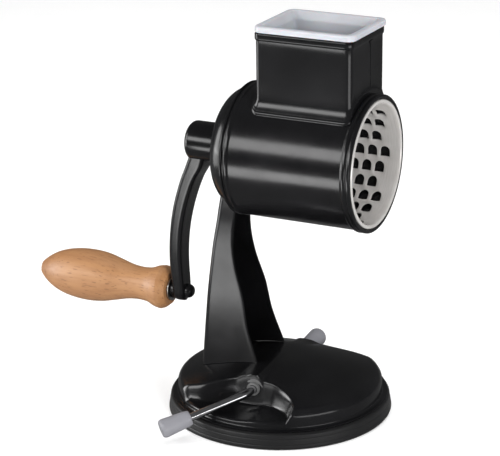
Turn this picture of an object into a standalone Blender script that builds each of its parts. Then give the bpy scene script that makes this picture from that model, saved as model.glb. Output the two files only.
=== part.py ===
"""Rotary cheese grater on a suction base: one object for each piece.

Metres, +Z up. The origin is the centre of the base's underside. The drum turns about an axis
along +X and its open mouth faces +X. The crank is at -X and the clamp lever leaves the base at -Y.
"""
import math

import bmesh
import bpy
from mathutils import Matrix, Vector

# ---------------------------------------------------------------- driving dimensions
GAP = 0.0003                 # clearance kept between pieces that touch
SHEET = 0.0012               # stamped steel sheet

PAD_RADIUS = 0.0700          # rubber suction pad
PAD_LIP_RADIUS = 0.0685
PAD_TOP_Z = 0.0096
FLANGE_Z = 0.0100            # underside of the casing's outer flange
FLANGE_RADIUS = 0.0674
WALL_RADIUS = 0.0640         # casing wall
CROWN_Z = 0.0350             # top of the casing
CROWN_FLAT_RADIUS = 0.0200   # where the nearly flat crown turns into a cone
CROWN_SOFTNESS = 0.0080
CROWN_SLOPE = 0.30
SHOULDER_RADIUS = 0.0040
POCKET_FLOOR_Z = 0.0145      # floor of the pockets beside the axle's ends
BOSS_Y = 0.0380              # end faces of the axle tunnel
BOSS_RADIUS = 0.0075

AXLE_Z = 0.0250              # clamp axle, along Y
ROD_RADIUS = 0.0025
THROW = 0.0020               # eccentric throw; the pad's centre rises by twice this
LEVER_BEND = Vector((0.0, -0.0470, 0.0250))
LEVER_END = Vector((-0.0374, -0.0824, 0.0100))
BEND_LENGTH = 0.0050         # from the corner of the bend to where it is straight

DRUM_AXIS_Z = 0.1664
DRUM_RADIUS = 0.0372         # outside of the grating wall
DRUM_WALL = 0.0008
DRUM_BACK_X = -0.0145
MOUTH_X = 0.0650
RIM_RADIUS = 0.0387
HOUSING_RADIUS = 0.0405
HOUSING_BACK_X = -0.0184
HOUSING_FRONT_X = 0.0645
BEAD_RADIUS = 0.0415
COVER_X = -0.0332            # flat back of the rear cover
COVER_SIDE = 0.0385          # where the cover's wall would meet its rim
COVER_EDGE = 0.0150

HOLE_ROWS = 24
HOLE_PITCH_X = 0.00845
HOLE_FIRST_X = 0.0543
HOLES_IN_ROW = 7
HOLE_WIDTH = 0.0055
HOLE_HEIGHT = 0.0060

HOPPER_LOW = (-0.0038, -0.0249)
HOPPER_HIGH = (0.0579, 0.0249)
HOPPER_TOP_Z = 0.2450
HOPPER_CORNER = 0.0035
PUSHER_LOW = (-0.0010, -0.0229)
PUSHER_HIGH = (0.0560, 0.0229)
PUSHER_FLANGE_LOW = (-0.0046, -0.0263)
PUSHER_FLANGE_HIGH = (0.0598, 0.0263)
PUSHER_TOP_Z = 0.2490
PUSHER_WALL = 0.0018
PUSHER_SOLE_RADIUS = 0.0399

HUB_RADIUS = 0.0125
HUB_INNER_X = -0.0358
HUB_OUTER_X = -0.0600
SHAFT_RADIUS = 0.0050
SHAFT_END_RADIUS = 0.0040
HANDLE_Z = 0.0660            # handle axis with the crank hanging down
TAB_TOP_Z = 0.1520
TAB_SCREW_Y = 0.0050
TAB_SCREW_Z = 0.1465
RIVET_X = -0.0330
RIVET_Y = 0.0070

BIG, MEDIUM, SMALL, TINY = 32, 24, 16, 10      # sides of a turned piece

# Column: height, half width, outer face of the web, free edge of the flanges.
COLUMN = [
    (0.0220, 0.0209, -0.0457, -0.0025),
    (0.0340, 0.0200, -0.0450, -0.0065),
    (0.0570, 0.0182, -0.0439, -0.0145),
    (0.0750, 0.0168, -0.0429, -0.0180),
    (0.0950, 0.0150, -0.0412, -0.0242),
    (0.1050, 0.0141, -0.0402, -0.0260),
    (0.1190, 0.0125, -0.0383, -0.0263),
    (0.1300, 0.0110, -0.0371, -0.0250),
    (0.1360, 0.0104, -0.0362, -0.0250),
    (0.1410, 0.0100, -0.0350, -0.0250),
    (TAB_TOP_Z, 0.0090, -0.0348, -0.0250),
]

# Plan outline (x, y) of the pocket at the front end of the axle; the rear one is turned by 180 degrees.
POCKET_WALL = [
    (-0.0560, -0.0465), (-0.0400, -0.0465), (-0.0320, -0.0455), (-0.0240, -0.0422),
    (-0.0170, -0.0388), (-0.0100, -0.0368), (0.0100, -0.0368), (0.0170, -0.0388),
    (0.0240, -0.0425), (0.0290, -0.0465), (0.0320, -0.0520), (0.0340, -0.0700), (-0.0560, -0.0700),
]

# Crank arm: height, outer face, inner face, width along Y.
CRANK_ARM = [
    (0.1600, -0.0575, -0.0470, 0.0170),
    (0.1510, -0.0610, -0.0497, 0.0168),
    (0.1425, -0.0646, -0.0545, 0.0164),
    (0.1330, -0.0678, -0.0583, 0.0160),
    (0.1234, -0.0705, -0.0613, 0.0155),
    (0.1056, -0.0735, -0.0649, 0.0146),
    (0.0865, -0.0744, -0.0659, 0.0138),
    (0.0720, -0.0734, -0.0651, 0.0132),
    (HANDLE_Z, -0.0728, -0.0648, 0.0130),
]

# Handle grip: distance behind the drum axis's origin, radius.
GRIP = [
    (-0.0765, 0.0105), (-0.0785, 0.0126), (-0.0820, 0.0140), (-0.0860, 0.0132),
    (-0.0900, 0.0115), (-0.0960, 0.0106), (-0.1060, 0.0113), (-0.1150, 0.0135),
    (-0.1250, 0.0158), (-0.1360, 0.0166), (-0.1450, 0.0160), (-0.1570, 0.0132),
    (-0.1610, 0.0115), (-0.1660, 0.0085), (-0.1690, 0.0062), (-0.1705, 0.0049),
]

# ---------------------------------------------------------------- scene and helpers
for old in list(bpy.data.objects):
    bpy.data.objects.remove(old, do_unlink=True)

PARTS = bpy.data.collections.new("rotary_cheese_grater")
CUTTERS = bpy.data.collections.new("cutters")
bpy.context.scene.collection.children.link(PARTS)
bpy.context.scene.collection.children.link(CUTTERS)

ALONG_X = Matrix.Rotation(math.radians(90), 4, "Y")
ALONG_Y = Matrix.Rotation(math.radians(-90), 4, "X")
DRUM_FRAME = Matrix.Translation((0, 0, DRUM_AXIS_Z)) @ ALONG_X
HANDLE_FRAME = Matrix.Translation((0, 0, HANDLE_Z)) @ ALONG_X
AXLE_FRAME = Matrix.Translation((0, 0, AXLE_Z)) @ ALONG_Y


def material(name, colour, roughness, metallic=0.0, coat=0.0):
    """Principled material with the piece's colour and finish."""
    made = bpy.data.materials.new(name)
    made.use_nodes = True
    shader = made.node_tree.nodes["Principled BSDF"]
    shader.inputs["Base Color"].default_value = (*colour, 1)
    shader.inputs["Roughness"].default_value = roughness
    shader.inputs["Metallic"].default_value = metallic
    shader.inputs["Coat Weight"].default_value = coat
    made.diffuse_color = (*colour, 1)
    return made


ENAMEL = material("black_enamel", (0.006, 0.006, 0.007), 0.16, coat=0.8)
STEEL = material("stainless_steel", (0.66, 0.64, 0.61), 0.22, metallic=1.0)
ZINC = material("zinc_plated_steel", (0.52, 0.52, 0.53), 0.35, metallic=1.0)
CHROME = material("chrome", (0.80, 0.80, 0.82), 0.06, metallic=1.0)
RUBBER = material("rubber", (0.028, 0.028, 0.030), 0.62)
BEECH = material("beech", (0.62, 0.36, 0.17), 0.50)
GREY_CAP = material("grey_cap_plastic", (0.36, 0.36, 0.38), 0.50)
PUSHER_GREY = material("pusher_plastic", (0.56, 0.57, 0.60), 0.38)
BUSH = material("bush_plastic", (0.12, 0.12, 0.12), 0.50)


def smooth_by_angle(mesh):
    """Smooth shading with the corners kept sharp."""
    mesh.shade_smooth()
    mesh.set_sharp_from_angle(angle=math.radians(35))


def new_object(name, mesh, frame=None):
    """Put a mesh in the scene, as a cutter until it is named a piece."""
    made = bpy.data.objects.new(name, mesh)
    CUTTERS.objects.link(made)
    made.hide_render = True
    made.display_type = "WIRE"
    if frame is not None:
        made.matrix_world = frame
    return made


def apply_modifiers(made):
    """Replace an object's mesh by its evaluated shape."""
    bpy.context.view_layer.update()
    evaluated = made.evaluated_get(bpy.context.evaluated_depsgraph_get())
    made.data = bpy.data.meshes.new_from_object(evaluated)
    made.modifiers.clear()


def in_triangles(mesh):
    """Cut faces into triangles, so that each one stays exactly flat."""
    shape = bmesh.new()
    shape.from_mesh(mesh)
    bmesh.ops.triangulate(shape, faces=shape.faces)
    shape.to_mesh(mesh)
    shape.free()


def merge_flat_faces(mesh):
    """Merge the flat faces that the Booleans split, and cut them into triangles again."""
    shape = bmesh.new()
    shape.from_mesh(mesh)
    bmesh.ops.dissolve_limit(shape, angle_limit=math.radians(0.02), verts=shape.verts,
                             edges=shape.edges)
    bmesh.ops.triangulate(shape, faces=shape.faces)
    bmesh.ops.dissolve_degenerate(shape, dist=0.000002, edges=shape.edges)
    bmesh.ops.remove_doubles(shape, verts=shape.verts, dist=0.000002)
    shape.to_mesh(mesh)
    shape.free()


def piece(made, look):
    """Turn a finished shape into one named piece of the grater."""
    apply_modifiers(made)
    merge_flat_faces(made.data)
    CUTTERS.objects.unlink(made)
    PARTS.objects.link(made)
    made.hide_render = False
    made.display_type = "TEXTURED"
    made.data.materials.clear()
    made.data.materials.append(look)
    smooth_by_angle(made.data)
    return made


def boolean(made, other, operation):
    """Cut, join or intersect a shape with another."""
    step = made.modifiers.new(operation.lower(), "BOOLEAN")
    step.operation = operation
    step.solver = "EXACT"
    step.object = other
    apply_modifiers(made)
    in_triangles(made.data)
    return made


def cut(made, *others):
    for other in others:
        boolean(made, other, "DIFFERENCE")
    return made


def join(made, *others):
    for other in others:
        boolean(made, other, "UNION")
    return made


def turned(name, profile, frame=None, sides=BIG, closed=False):
    """Turn a profile of (radius, height) about the frame's Z axis.

    The profile runs down its outer side. An open one starts and ends on the axis.
    """
    shape = bmesh.new()
    points = [shape.verts.new((radius, 0, height)) for radius, height in profile]
    for first, second in zip(points, points[1:]):
        shape.edges.new((first, second))
    if closed:
        shape.edges.new((points[-1], points[0]))
    mesh = bpy.data.meshes.new(name)
    shape.to_mesh(mesh)
    shape.free()
    made = new_object(name, mesh, frame)
    screw = made.modifiers.new("turn", "SCREW")
    screw.steps = sides
    screw.render_steps = sides
    screw.use_merge_vertices = True
    screw.merge_threshold = 0.00001
    apply_modifiers(made)
    return made


def tube(name, outer, inner, low, high, frame=None, sides=SMALL):
    """A plain ring or sleeve."""
    profile = [(outer, high), (outer, low), (inner, low), (inner, high)]
    return turned(name, profile, frame, sides, closed=True)


def rod(name, radius, low, high, frame=None, sides=SMALL):
    """A plain round bar."""
    return turned(name, [(0, high), (radius, high), (radius, low), (0, low)], frame, sides)


def hexagon(name, across, low, high, bore, frame=None):
    """A hexagon nut with a plain bore."""
    shape = bmesh.new()
    bmesh.ops.create_cone(shape, cap_ends=True, segments=6, radius1=across / math.sqrt(3),
                          radius2=across / math.sqrt(3), depth=high - low)
    bmesh.ops.translate(shape, verts=shape.verts, vec=(0, 0, (low + high) / 2))
    mesh = bpy.data.meshes.new(name)
    shape.to_mesh(mesh)
    shape.free()
    nut = new_object(name, mesh, frame)
    return cut(nut, rod(name + "_bore", bore, low - 0.001, high + 0.001, frame, TINY))


def block(name, low, high, corner=0.0, edges="Z", steps=3):
    """A box from low to high, with rounded vertical or all edges."""
    shape = bmesh.new()
    bmesh.ops.create_cube(shape, size=1)
    size = Vector(high) - Vector(low)
    bmesh.ops.scale(shape, verts=shape.verts, vec=size)
    bmesh.ops.translate(shape, verts=shape.verts, vec=(Vector(high) + Vector(low)) / 2)
    if corner:
        chosen = [
            edge for edge in shape.edges
            if edges == "ALL" or abs((edge.verts[0].co - edge.verts[1].co).normalized().z) > 0.9
        ]
        bmesh.ops.bevel(shape, geom=chosen, offset=corner, segments=steps, profile=0.5,
                        affect="EDGES")
    mesh = bpy.data.meshes.new(name)
    shape.to_mesh(mesh)
    shape.free()
    return new_object(name, mesh)


def grid_surface(name, rows, ring=False, caps=False):
    """Skin a list of equal rows of points; a ring's rows close on themselves."""
    shape = bmesh.new()
    made_rows = [[shape.verts.new(point) for point in row] for row in rows]
    count = len(rows[0])
    last = count if ring else count - 1
    for low, high in zip(made_rows, made_rows[1:]):
        for i in range(last):
            j = (i + 1) % count
            shape.faces.new((low[i], low[j], high[j], high[i]))
    if caps:
        shape.faces.new(made_rows[0])
        shape.faces.new(made_rows[-1])
    bmesh.ops.recalc_face_normals(shape, faces=shape.faces)
    bmesh.ops.triangulate(shape, faces=shape.faces)
    mesh = bpy.data.meshes.new(name)
    shape.to_mesh(mesh)
    shape.free()
    return new_object(name, mesh)


def arc(centre, radius, start, end, steps):
    """Points of an arc in (radius, height), with angles in degrees from the radius axis."""
    points = []
    for i in range(steps + 1):
        turn = math.radians(start + (end - start) * i / steps)
        points.append((centre[0] + radius * math.cos(turn), centre[1] + radius * math.sin(turn)))
    return points


def frame_towards(origin, direction):
    """A frame whose Z axis points along a direction."""
    turn = Vector(direction).normalized().to_track_quat("Z", "Y").to_matrix().to_4x4()
    return Matrix.Translation(origin) @ turn


# ---------------------------------------------------------------- base
def crown_height(radius):
    """Height of the casing's top: a nearly flat crown that turns softly into a cone."""
    def fall(at):
        off = at - CROWN_FLAT_RADIUS
        return CROWN_SLOPE / 2 * (off + math.hypot(off, CROWN_SOFTNESS))
    return CROWN_Z - fall(radius) + fall(0.0)


def casing_form(name, offset, bottom, flange=False):
    """Solid of the casing's dome and wall, grown (or shrunk) by an offset, without pockets."""
    slope = math.atan(CROWN_SLOPE)
    shoulder_r = WALL_RADIUS - SHOULDER_RADIUS
    crown_end = shoulder_r + SHOULDER_RADIUS * math.sin(slope)
    shoulder_z = crown_height(crown_end) - SHOULDER_RADIUS * math.cos(slope)
    profile = []
    for radius in (0.0, 0.012, 0.021, 0.030, 0.042):
        profile.append((radius, crown_height(radius) + offset))
    profile += arc((shoulder_r, shoulder_z), SHOULDER_RADIUS + offset,
                   90 - math.degrees(slope), 0, 3)
    if flange:
        profile += [
            (WALL_RADIUS, FLANGE_Z + 0.0028), (WALL_RADIUS + 0.0012, FLANGE_Z + SHEET),
            (FLANGE_RADIUS, FLANGE_Z + SHEET), (FLANGE_RADIUS, FLANGE_Z),
        ]
    profile += [(WALL_RADIUS + offset, bottom), (0, bottom)]
    return turned(name, profile)


def pocket_tool(name, offset, side):
    """Space of one pocket: a curved wall beside the axle's end, open to the casing's rim."""
    outline = [(side * -x, side * -(y + offset)) for x, y in POCKET_WALL]
    shape = bmesh.new()
    corners = [shape.verts.new((x, y, POCKET_FLOOR_Z - offset)) for x, y in outline]
    floor = shape.faces.new(corners)
    raised = bmesh.ops.extrude_face_region(shape, geom=[floor])
    top = [item for item in raised["geom"] if isinstance(item, bmesh.types.BMVert)]
    bmesh.ops.translate(shape, verts=top, vec=(0, 0, WALL_RADIUS))
    bmesh.ops.recalc_face_normals(shape, faces=shape.faces)
    bmesh.ops.triangulate(shape, faces=shape.faces)
    mesh = bpy.data.meshes.new(name)
    shape.to_mesh(mesh)
    shape.free()
    return new_object(name, mesh)


def make_casing():
    outer = casing_form("base_casing", 0.0, FLANGE_Z, flange=True)
    inner = casing_form("casing_inside", -SHEET, FLANGE_Z - 0.004)
    for side in (-1, 1):
        cut(outer, pocket_tool("pocket", 0.0, side))
        cut(inner, pocket_tool("pocket_inside", SHEET, side))
    join(outer, rod("tunnel", BOSS_RADIUS, -BOSS_Y, BOSS_Y, AXLE_FRAME, SMALL))
    inside_y = BOSS_Y - SHEET
    join(inner, rod("tunnel_inside", BOSS_RADIUS - SHEET, -inside_y, inside_y, AXLE_FRAME, SMALL))
    cut(outer, inner, rod("axle_holes", 0.0044, -0.06, 0.06, AXLE_FRAME, SMALL))
    for frame in rivet_frames():
        cut(outer, rod("casing_rivet_hole", 0.0022, -0.006, 0.006, frame, TINY))
    return piece(outer, ENAMEL)


def rivet_frames():
    """Frames of the column's two rivets, on the crown and square to it."""
    frames = []
    for y in (-RIVET_Y, RIVET_Y):
        radius = math.hypot(RIVET_X, y)
        tilt = math.atan(CROWN_SLOPE)
        normal = Vector((RIVET_X / radius, y / radius, 0)) * math.sin(tilt)
        normal.z = math.cos(tilt)
        frames.append(frame_towards((RIVET_X, y, crown_height(radius)), normal))
    return frames


def make_pad():
    """Rubber pad: flat sole, thick rim under the casing's flange, socket for the stem's foot."""
    return piece(turned("suction_pad", [
        (0, 0.0032), (0.0118, 0.0032), (0.0118, 0.0062), (0.0090, 0.0062), (0.0090, 0.0092),
        (0.0160, 0.0092), (0.0175, 0.0040), (0.0585, 0.0034), (0.0600, PAD_TOP_Z),
        (PAD_LIP_RADIUS, PAD_TOP_Z), (0.0694, 0.0050), (PAD_RADIUS, 0.0010), (0.0695, 0), (0, 0),
    ]), RUBBER)


def make_guide_plate():
    """Plate inside the casing that guides the stem and backs the pad's rim."""
    return piece(turned("guide_plate", [
        (0.0608, 0.0132), (0.0608, 0.0099), (0.0596, 0.0099), (0.0596, 0.0120),
        (0.0062, 0.0120), (0.0062, 0.0105), (0.0045, 0.0105), (0.0045, 0.0132),
    ], closed=True), ZINC)


def make_axle_bushes():
    for name, side in (("axle_bush_front", -1), ("axle_bush_rear", 1)):
        frame = Matrix.Translation((0, 0, AXLE_Z)) @ Matrix.Rotation(side * math.radians(-90), 4, "X")
        piece(turned(name, [
            (0.0041, 0.0386), (0.0041, 0.0365), (0.0059, 0.0365), (0.0059, 0.0353),
            (0.0041, 0.0353), (0.0041, 0.0325), (0.0028, 0.0325), (0.0028, 0.0386),
        ], frame, SMALL, closed=True), BUSH)


def make_stem():
    """Slotted yoke on a stem: the axle's eccentric lifts it."""
    yoke = block("clamp_stem", (-0.0070, -0.0030, 0.0165), (0.0070, 0.0030, 0.0284), 0.0008, "ALL", 1)
    slot_half_x = THROW + ROD_RADIUS + 0.0005
    slot_half_z = ROD_RADIUS + 0.0006
    middle = AXLE_Z - THROW
    cut(yoke, block("yoke_slot", (-slot_half_x, -0.01, middle - slot_half_z),
                    (slot_half_x, 0.01, middle + slot_half_z), 0, "Z"))
    join(yoke, turned("stem_rod", [
        (0, 0.0175), (0.0028, 0.0175), (0.0040, 0.0162), (0.0040, 0.0061), (0.0030, 0.0061),
        (0.0030, 0.0037), (0, 0.0037),
    ], sides=SMALL))
    piece(yoke, ZINC)
    piece(tube("stem_foot", 0.0115, 0.0033, 0.0037, 0.0057, sides=MEDIUM), ZINC)


def smooth_corner(before, corner, after, steps):
    """Points of a quadratic curve that rounds a corner."""
    points = []
    for i in range(steps + 1):
        t = i / steps
        points.append(before * (1 - t) ** 2 + corner * (2 * t * (1 - t)) + after * t ** 2)
    return points


def make_lever():
    """Bent rod: axle with a joggled eccentric, bend and arm, with plastic caps on both ends."""
    out = (LEVER_END - LEVER_BEND).normalized()
    route = [
        Vector((0, 0.0552, AXLE_Z)), Vector((0, 0.0300, AXLE_Z)), Vector((0, 0.0080, AXLE_Z)),
        Vector((0, 0.0040, AXLE_Z - THROW)), Vector((0, -0.0040, AXLE_Z - THROW)),
        Vector((0, -0.0080, AXLE_Z)), Vector((0, -0.0300, AXLE_Z)),
    ]
    straight = Vector((0, BEND_LENGTH, 0))
    route += smooth_corner(LEVER_BEND + straight, LEVER_BEND, LEVER_BEND + out * BEND_LENGTH, 5)
    route.append(LEVER_END)
    curve = bpy.data.curves.new("clamp_lever", "CURVE")
    curve.dimensions = "3D"
    curve.bevel_depth = ROD_RADIUS
    curve.bevel_resolution = 2
    curve.use_fill_caps = True
    spline = curve.splines.new("POLY")
    spline.points.add(len(route) - 1)
    for point, place in zip(spline.points, route):
        point.co = (*place, 1)
    guide = bpy.data.objects.new("lever_route", curve)
    CUTTERS.objects.link(guide)
    bpy.context.view_layer.update()
    mesh = bpy.data.meshes.new_from_object(
        guide.evaluated_get(bpy.context.evaluated_depsgraph_get()))
    bpy.data.objects.remove(guide, do_unlink=True)
    shape = bmesh.new()
    shape.from_mesh(mesh)
    bmesh.ops.remove_doubles(shape, verts=shape.verts, dist=0.00001)
    bmesh.ops.recalc_face_normals(shape, faces=shape.faces)
    shape.to_mesh(mesh)
    shape.free()
    piece(new_object("clamp_lever", mesh), CHROME)

    bore = ROD_RADIUS + GAP

    def cap(name, frame, length, thick_end, thin_end):
        floor = length - 0.0027
        piece(turned(name, [
            (0, length), (thick_end - 0.0016, length), (thick_end - 0.0004, length - 0.0008),
            (thick_end, length - 0.0024), (thin_end, 0.0008), (thin_end - 0.0005, 0), (bore, 0),
            (bore, floor), (0, floor),
        ], frame, SMALL), GREY_CAP)

    cap("lever_grip", frame_towards(LEVER_END - out * 0.0165, out), 0.0195, 0.0060, 0.0046)
    rear = Matrix.Translation((0, 0.0393, 0)) @ AXLE_FRAME
    cap("axle_end_cap", rear, 0.0190, 0.0060, 0.0045)


# ---------------------------------------------------------------- column
def column_section(height, half_width, web_x, edge_x):
    """Middle line of the U section: flange, corner, web, corner, flange."""
    corner = 0.0030
    side = half_width - SHEET / 2
    web = web_x + SHEET / 2
    half = [(edge_x, -side), ((edge_x + web) / 2, -side)]
    for turn in (270, 240, 210, 180):
        angle = math.radians(turn)
        half.append((web + corner + corner * math.cos(angle), -side + corner + corner * math.sin(angle)))
    other = [(x, -y) for x, y in reversed(half)]
    return [(x, y, height) for x, y in half + other]


def make_column():
    sheet = grid_surface("column", [column_section(*station) for station in COLUMN])
    skin = sheet.modifiers.new("thickness", "SOLIDIFY")
    skin.thickness = SHEET
    skin.offset = 0
    apply_modifiers(sheet)
    foot = block("column_foot", (-0.0452, -0.0120, 0.020), (-0.0200, 0.0120, 0.040), 0.004, "Z")
    boolean(foot, casing_form("foot_top", GAP + 0.0014, 0.005), "INTERSECT")
    join(sheet, foot)
    cut(sheet, casing_form("casing_clearance", GAP, 0.005))
    keep_out = HOUSING_RADIUS + 0.0014
    cut(sheet, turned("housing_clearance", [
        (0, 0.010), (keep_out, 0.010), (keep_out, COVER_X + 0.0122), (0.0401, COVER_X + 0.0110),
        *arc((COVER_SIDE - COVER_EDGE, COVER_X + COVER_EDGE), COVER_EDGE + 0.0004, -18, -90, 5),
        (0, COVER_X - 0.0004),
    ], DRUM_FRAME))
    for frame in tab_screw_frames():
        cut(sheet, rod("tab_hole", 0.0021, -0.004, 0.006, frame, TINY))
    for frame in rivet_frames():
        cut(sheet, rod("foot_hole", 0.0022, -0.006, 0.006, frame, TINY))
    return piece(sheet, ENAMEL)


def make_column_rivets():
    top = GAP * 2 + 0.0014
    under = -SHEET - 0.0006
    for number, frame in enumerate(rivet_frames(), 1):
        piece(turned(f"column_rivet_{number}", [
            (0, top + 0.0020), (0.0022, top + 0.0016), (0.0035, top), (0.0019, top),
            (0.0019, under), (0.0034, under), (0.0022, under - 0.0014), (0, under - 0.0016),
        ], frame, TINY), ENAMEL)


def tab_screw_frames():
    """Frames of the screws that hold the column's tab to the rear cover, with Z along +X."""
    return [Matrix.Translation((COVER_X, y, TAB_SCREW_Z)) @ ALONG_X for y in (-TAB_SCREW_Y, TAB_SCREW_Y)]


def make_tab_screws():
    seat = -0.0019
    for number, frame in enumerate(tab_screw_frames(), 1):
        piece(turned(f"tab_screw_{number}", [
            (0, 0.0048), (0.0014, 0.0048), (0.0017, 0.0044), (0.0017, seat), (0.0032, seat),
            (0.0030, seat - 0.0015), (0.0020, seat - 0.0022), (0, seat - 0.0023),
        ], frame, TINY), ZINC)
        piece(hexagon(f"tab_nut_{number}", 0.0068, 0.0015, 0.0039, 0.0020, frame), ZINC)


# ---------------------------------------------------------------- housing
def make_housing():
    inner = HOUSING_RADIUS - SHEET
    body = turned("drum_housing", [
        (0.0406, HOUSING_FRONT_X), (BEAD_RADIUS, 0.0640), (BEAD_RADIUS, 0.0624),
        (0.0409, 0.0617), (BEAD_RADIUS, 0.0610), (BEAD_RADIUS, 0.0594), (HOUSING_RADIUS, 0.0585),
        (HOUSING_RADIUS, HOUSING_BACK_X), (inner, HOUSING_BACK_X), (inner, HOUSING_FRONT_X),
    ], DRUM_FRAME, closed=True)
    cut(body, hopper_throat("housing_opening", 0.180, 0.230))
    return piece(body, ENAMEL)


def make_rear_cover():
    centre = (COVER_SIDE - COVER_EDGE, COVER_X + COVER_EDGE)
    inside = list(reversed(arc(centre, COVER_EDGE - SHEET, -14, -90, 5)))
    rim = HOUSING_BACK_X - GAP
    cover = turned("rear_cover", [
        (0.0406, rim), (0.0411, rim - 0.0005), (0.0411, rim - 0.0013), (0.0404, rim - 0.0019),
        *arc(centre, COVER_EDGE, -14, -90, 5),
        (0.0084, COVER_X), (0.0084, COVER_X + SHEET), *inside, (COVER_SIDE - SHEET - 0.0004, rim),
    ], DRUM_FRAME, closed=True)
    for frame in tab_screw_frames():
        cut(cover, rod("cover_hole", 0.0021, -0.004, 0.006, frame, TINY))
    return piece(cover, ENAMEL)


def hopper_throat(name, low_z, high_z):
    """Clear passage of the hopper."""
    return block(name, (HOPPER_LOW[0] + SHEET, HOPPER_LOW[1] + SHEET, low_z),
                 (HOPPER_HIGH[0] - SHEET, HOPPER_HIGH[1] - SHEET, high_z),
                 HOPPER_CORNER - SHEET)


def make_hopper():
    hopper = block("hopper", (*HOPPER_LOW, 0.180), (*HOPPER_HIGH, HOPPER_TOP_Z), HOPPER_CORNER)
    edge = 0.0006
    rim = block("hopper_rim", (HOPPER_LOW[0] - edge, HOPPER_LOW[1] - edge, HOPPER_TOP_Z - 0.0040),
                (HOPPER_HIGH[0] + edge, HOPPER_HIGH[1] + edge, HOPPER_TOP_Z), HOPPER_CORNER + edge)
    foot = 0.0032
    flange = block("hopper_flange", (HOPPER_LOW[0] - foot, HOPPER_LOW[1] - foot, 0.180),
                   (HOPPER_HIGH[0], HOPPER_HIGH[1] + foot, 0.215), HOPPER_CORNER + foot)
    seat = HOUSING_RADIUS + GAP
    boolean(flange, rod("flange_top", seat + SHEET, -0.02, 0.07, DRUM_FRAME, BIG), "INTERSECT")
    join(hopper, rim, flange)
    cut(hopper, rod("housing_seat", seat, -0.02, 0.07, DRUM_FRAME, BIG),
        hopper_throat("hopper_hollow", 0.170, 0.260))
    return piece(hopper, ENAMEL)


def make_pusher():
    """Hollow food pusher: box with a flange, and a sole curved to the drum."""
    pusher = block("food_pusher", (*PUSHER_LOW, 0.190), (*PUSHER_HIGH, PUSHER_TOP_Z - 0.001), 0.0022)
    join(pusher, block("pusher_flange", (*PUSHER_FLANGE_LOW, HOPPER_TOP_Z + GAP),
                       (*PUSHER_FLANGE_HIGH, PUSHER_TOP_Z), 0.0045))
    cut(pusher, rod("sole", PUSHER_SOLE_RADIUS, -0.02, 0.08, DRUM_FRAME, BIG))
    wall = PUSHER_WALL
    hollow = block("pusher_hollow", (PUSHER_LOW[0] + wall, PUSHER_LOW[1] + wall, 0.190),
                   (PUSHER_HIGH[0] - wall, PUSHER_HIGH[1] - wall, 0.260), 0.0030)
    cut(hollow, rod("sole_inside", PUSHER_SOLE_RADIUS + 0.0020, -0.02, 0.08, DRUM_FRAME, BIG))
    cut(pusher, hollow)
    return piece(pusher, PUSHER_GREY)


# ---------------------------------------------------------------- drum and crank
def make_drum():
    """Grating drum: tube with a rolled rim, and arched holes in rows that step by a third."""
    inner = DRUM_RADIUS - DRUM_WALL
    drum = turned("grater_drum", [
        (0.0376, MOUTH_X), (RIM_RADIUS, MOUTH_X - 0.0006), (RIM_RADIUS, MOUTH_X - 0.0020),
        (DRUM_RADIUS, MOUTH_X - 0.0028), (DRUM_RADIUS, DRUM_BACK_X), (inner, DRUM_BACK_X),
        (inner, MOUTH_X - 0.0014), (0.0367, MOUTH_X - 0.0004),
    ], DRUM_FRAME, HOLE_ROWS, closed=True)
    half = HOLE_WIDTH / 2
    arch = [(half, HOLE_HEIGHT / 2), (-half, HOLE_HEIGHT / 2), (-half, -0.0006),
            (0.0, -HOLE_HEIGHT / 2), (half, -0.0006)]
    shape = bmesh.new()
    for row in range(HOLE_ROWS):
        spin = Matrix.Rotation(2 * math.pi * (row + 0.5) / HOLE_ROWS, 4, "X")
        for column in range(HOLES_IN_ROW):
            x = HOLE_FIRST_X - HOLE_PITCH_X * (column + (-row - 1) % 3 / 3)
            low = [shape.verts.new(spin @ Vector((x + u, v, inner - 0.0030))) for u, v in arch]
            high = [shape.verts.new(spin @ Vector((x + u, v, DRUM_RADIUS + 0.0020))) for u, v in arch]
            shape.faces.new(list(reversed(low)))
            shape.faces.new(high)
            for i in range(len(arch)):
                j = (i + 1) % len(arch)
                shape.faces.new((low[i], low[j], high[j], high[i]))
    mesh = bpy.data.meshes.new("drum_holes")
    shape.to_mesh(mesh)
    shape.free()
    cut(drum, new_object("drum_holes", mesh, Matrix.Translation((0, 0, DRUM_AXIS_Z))))
    piece(drum, STEEL)

    plate_x = DRUM_BACK_X + 0.0011
    rim = inner - GAP
    piece(turned("drum_end_plate", [
        (rim, plate_x + 0.0060), (rim, plate_x), (SHAFT_END_RADIUS + GAP, plate_x),
        (SHAFT_END_RADIUS + GAP, plate_x + SHEET), (rim - SHEET, plate_x + SHEET),
        (rim - SHEET, plate_x + 0.0060),
    ], DRUM_FRAME, HOLE_ROWS, closed=True), STEEL)
    washer_x = plate_x + SHEET + GAP
    piece(tube("drum_washer", 0.0090, SHAFT_END_RADIUS + GAP, washer_x, washer_x + SHEET,
               DRUM_FRAME), ZINC)
    nut_x = washer_x + SHEET + GAP
    piece(hexagon("drum_nut", 0.0130, nut_x, nut_x + 0.0060, SHAFT_END_RADIUS + GAP, DRUM_FRAME), ZINC)
    return plate_x


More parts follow.
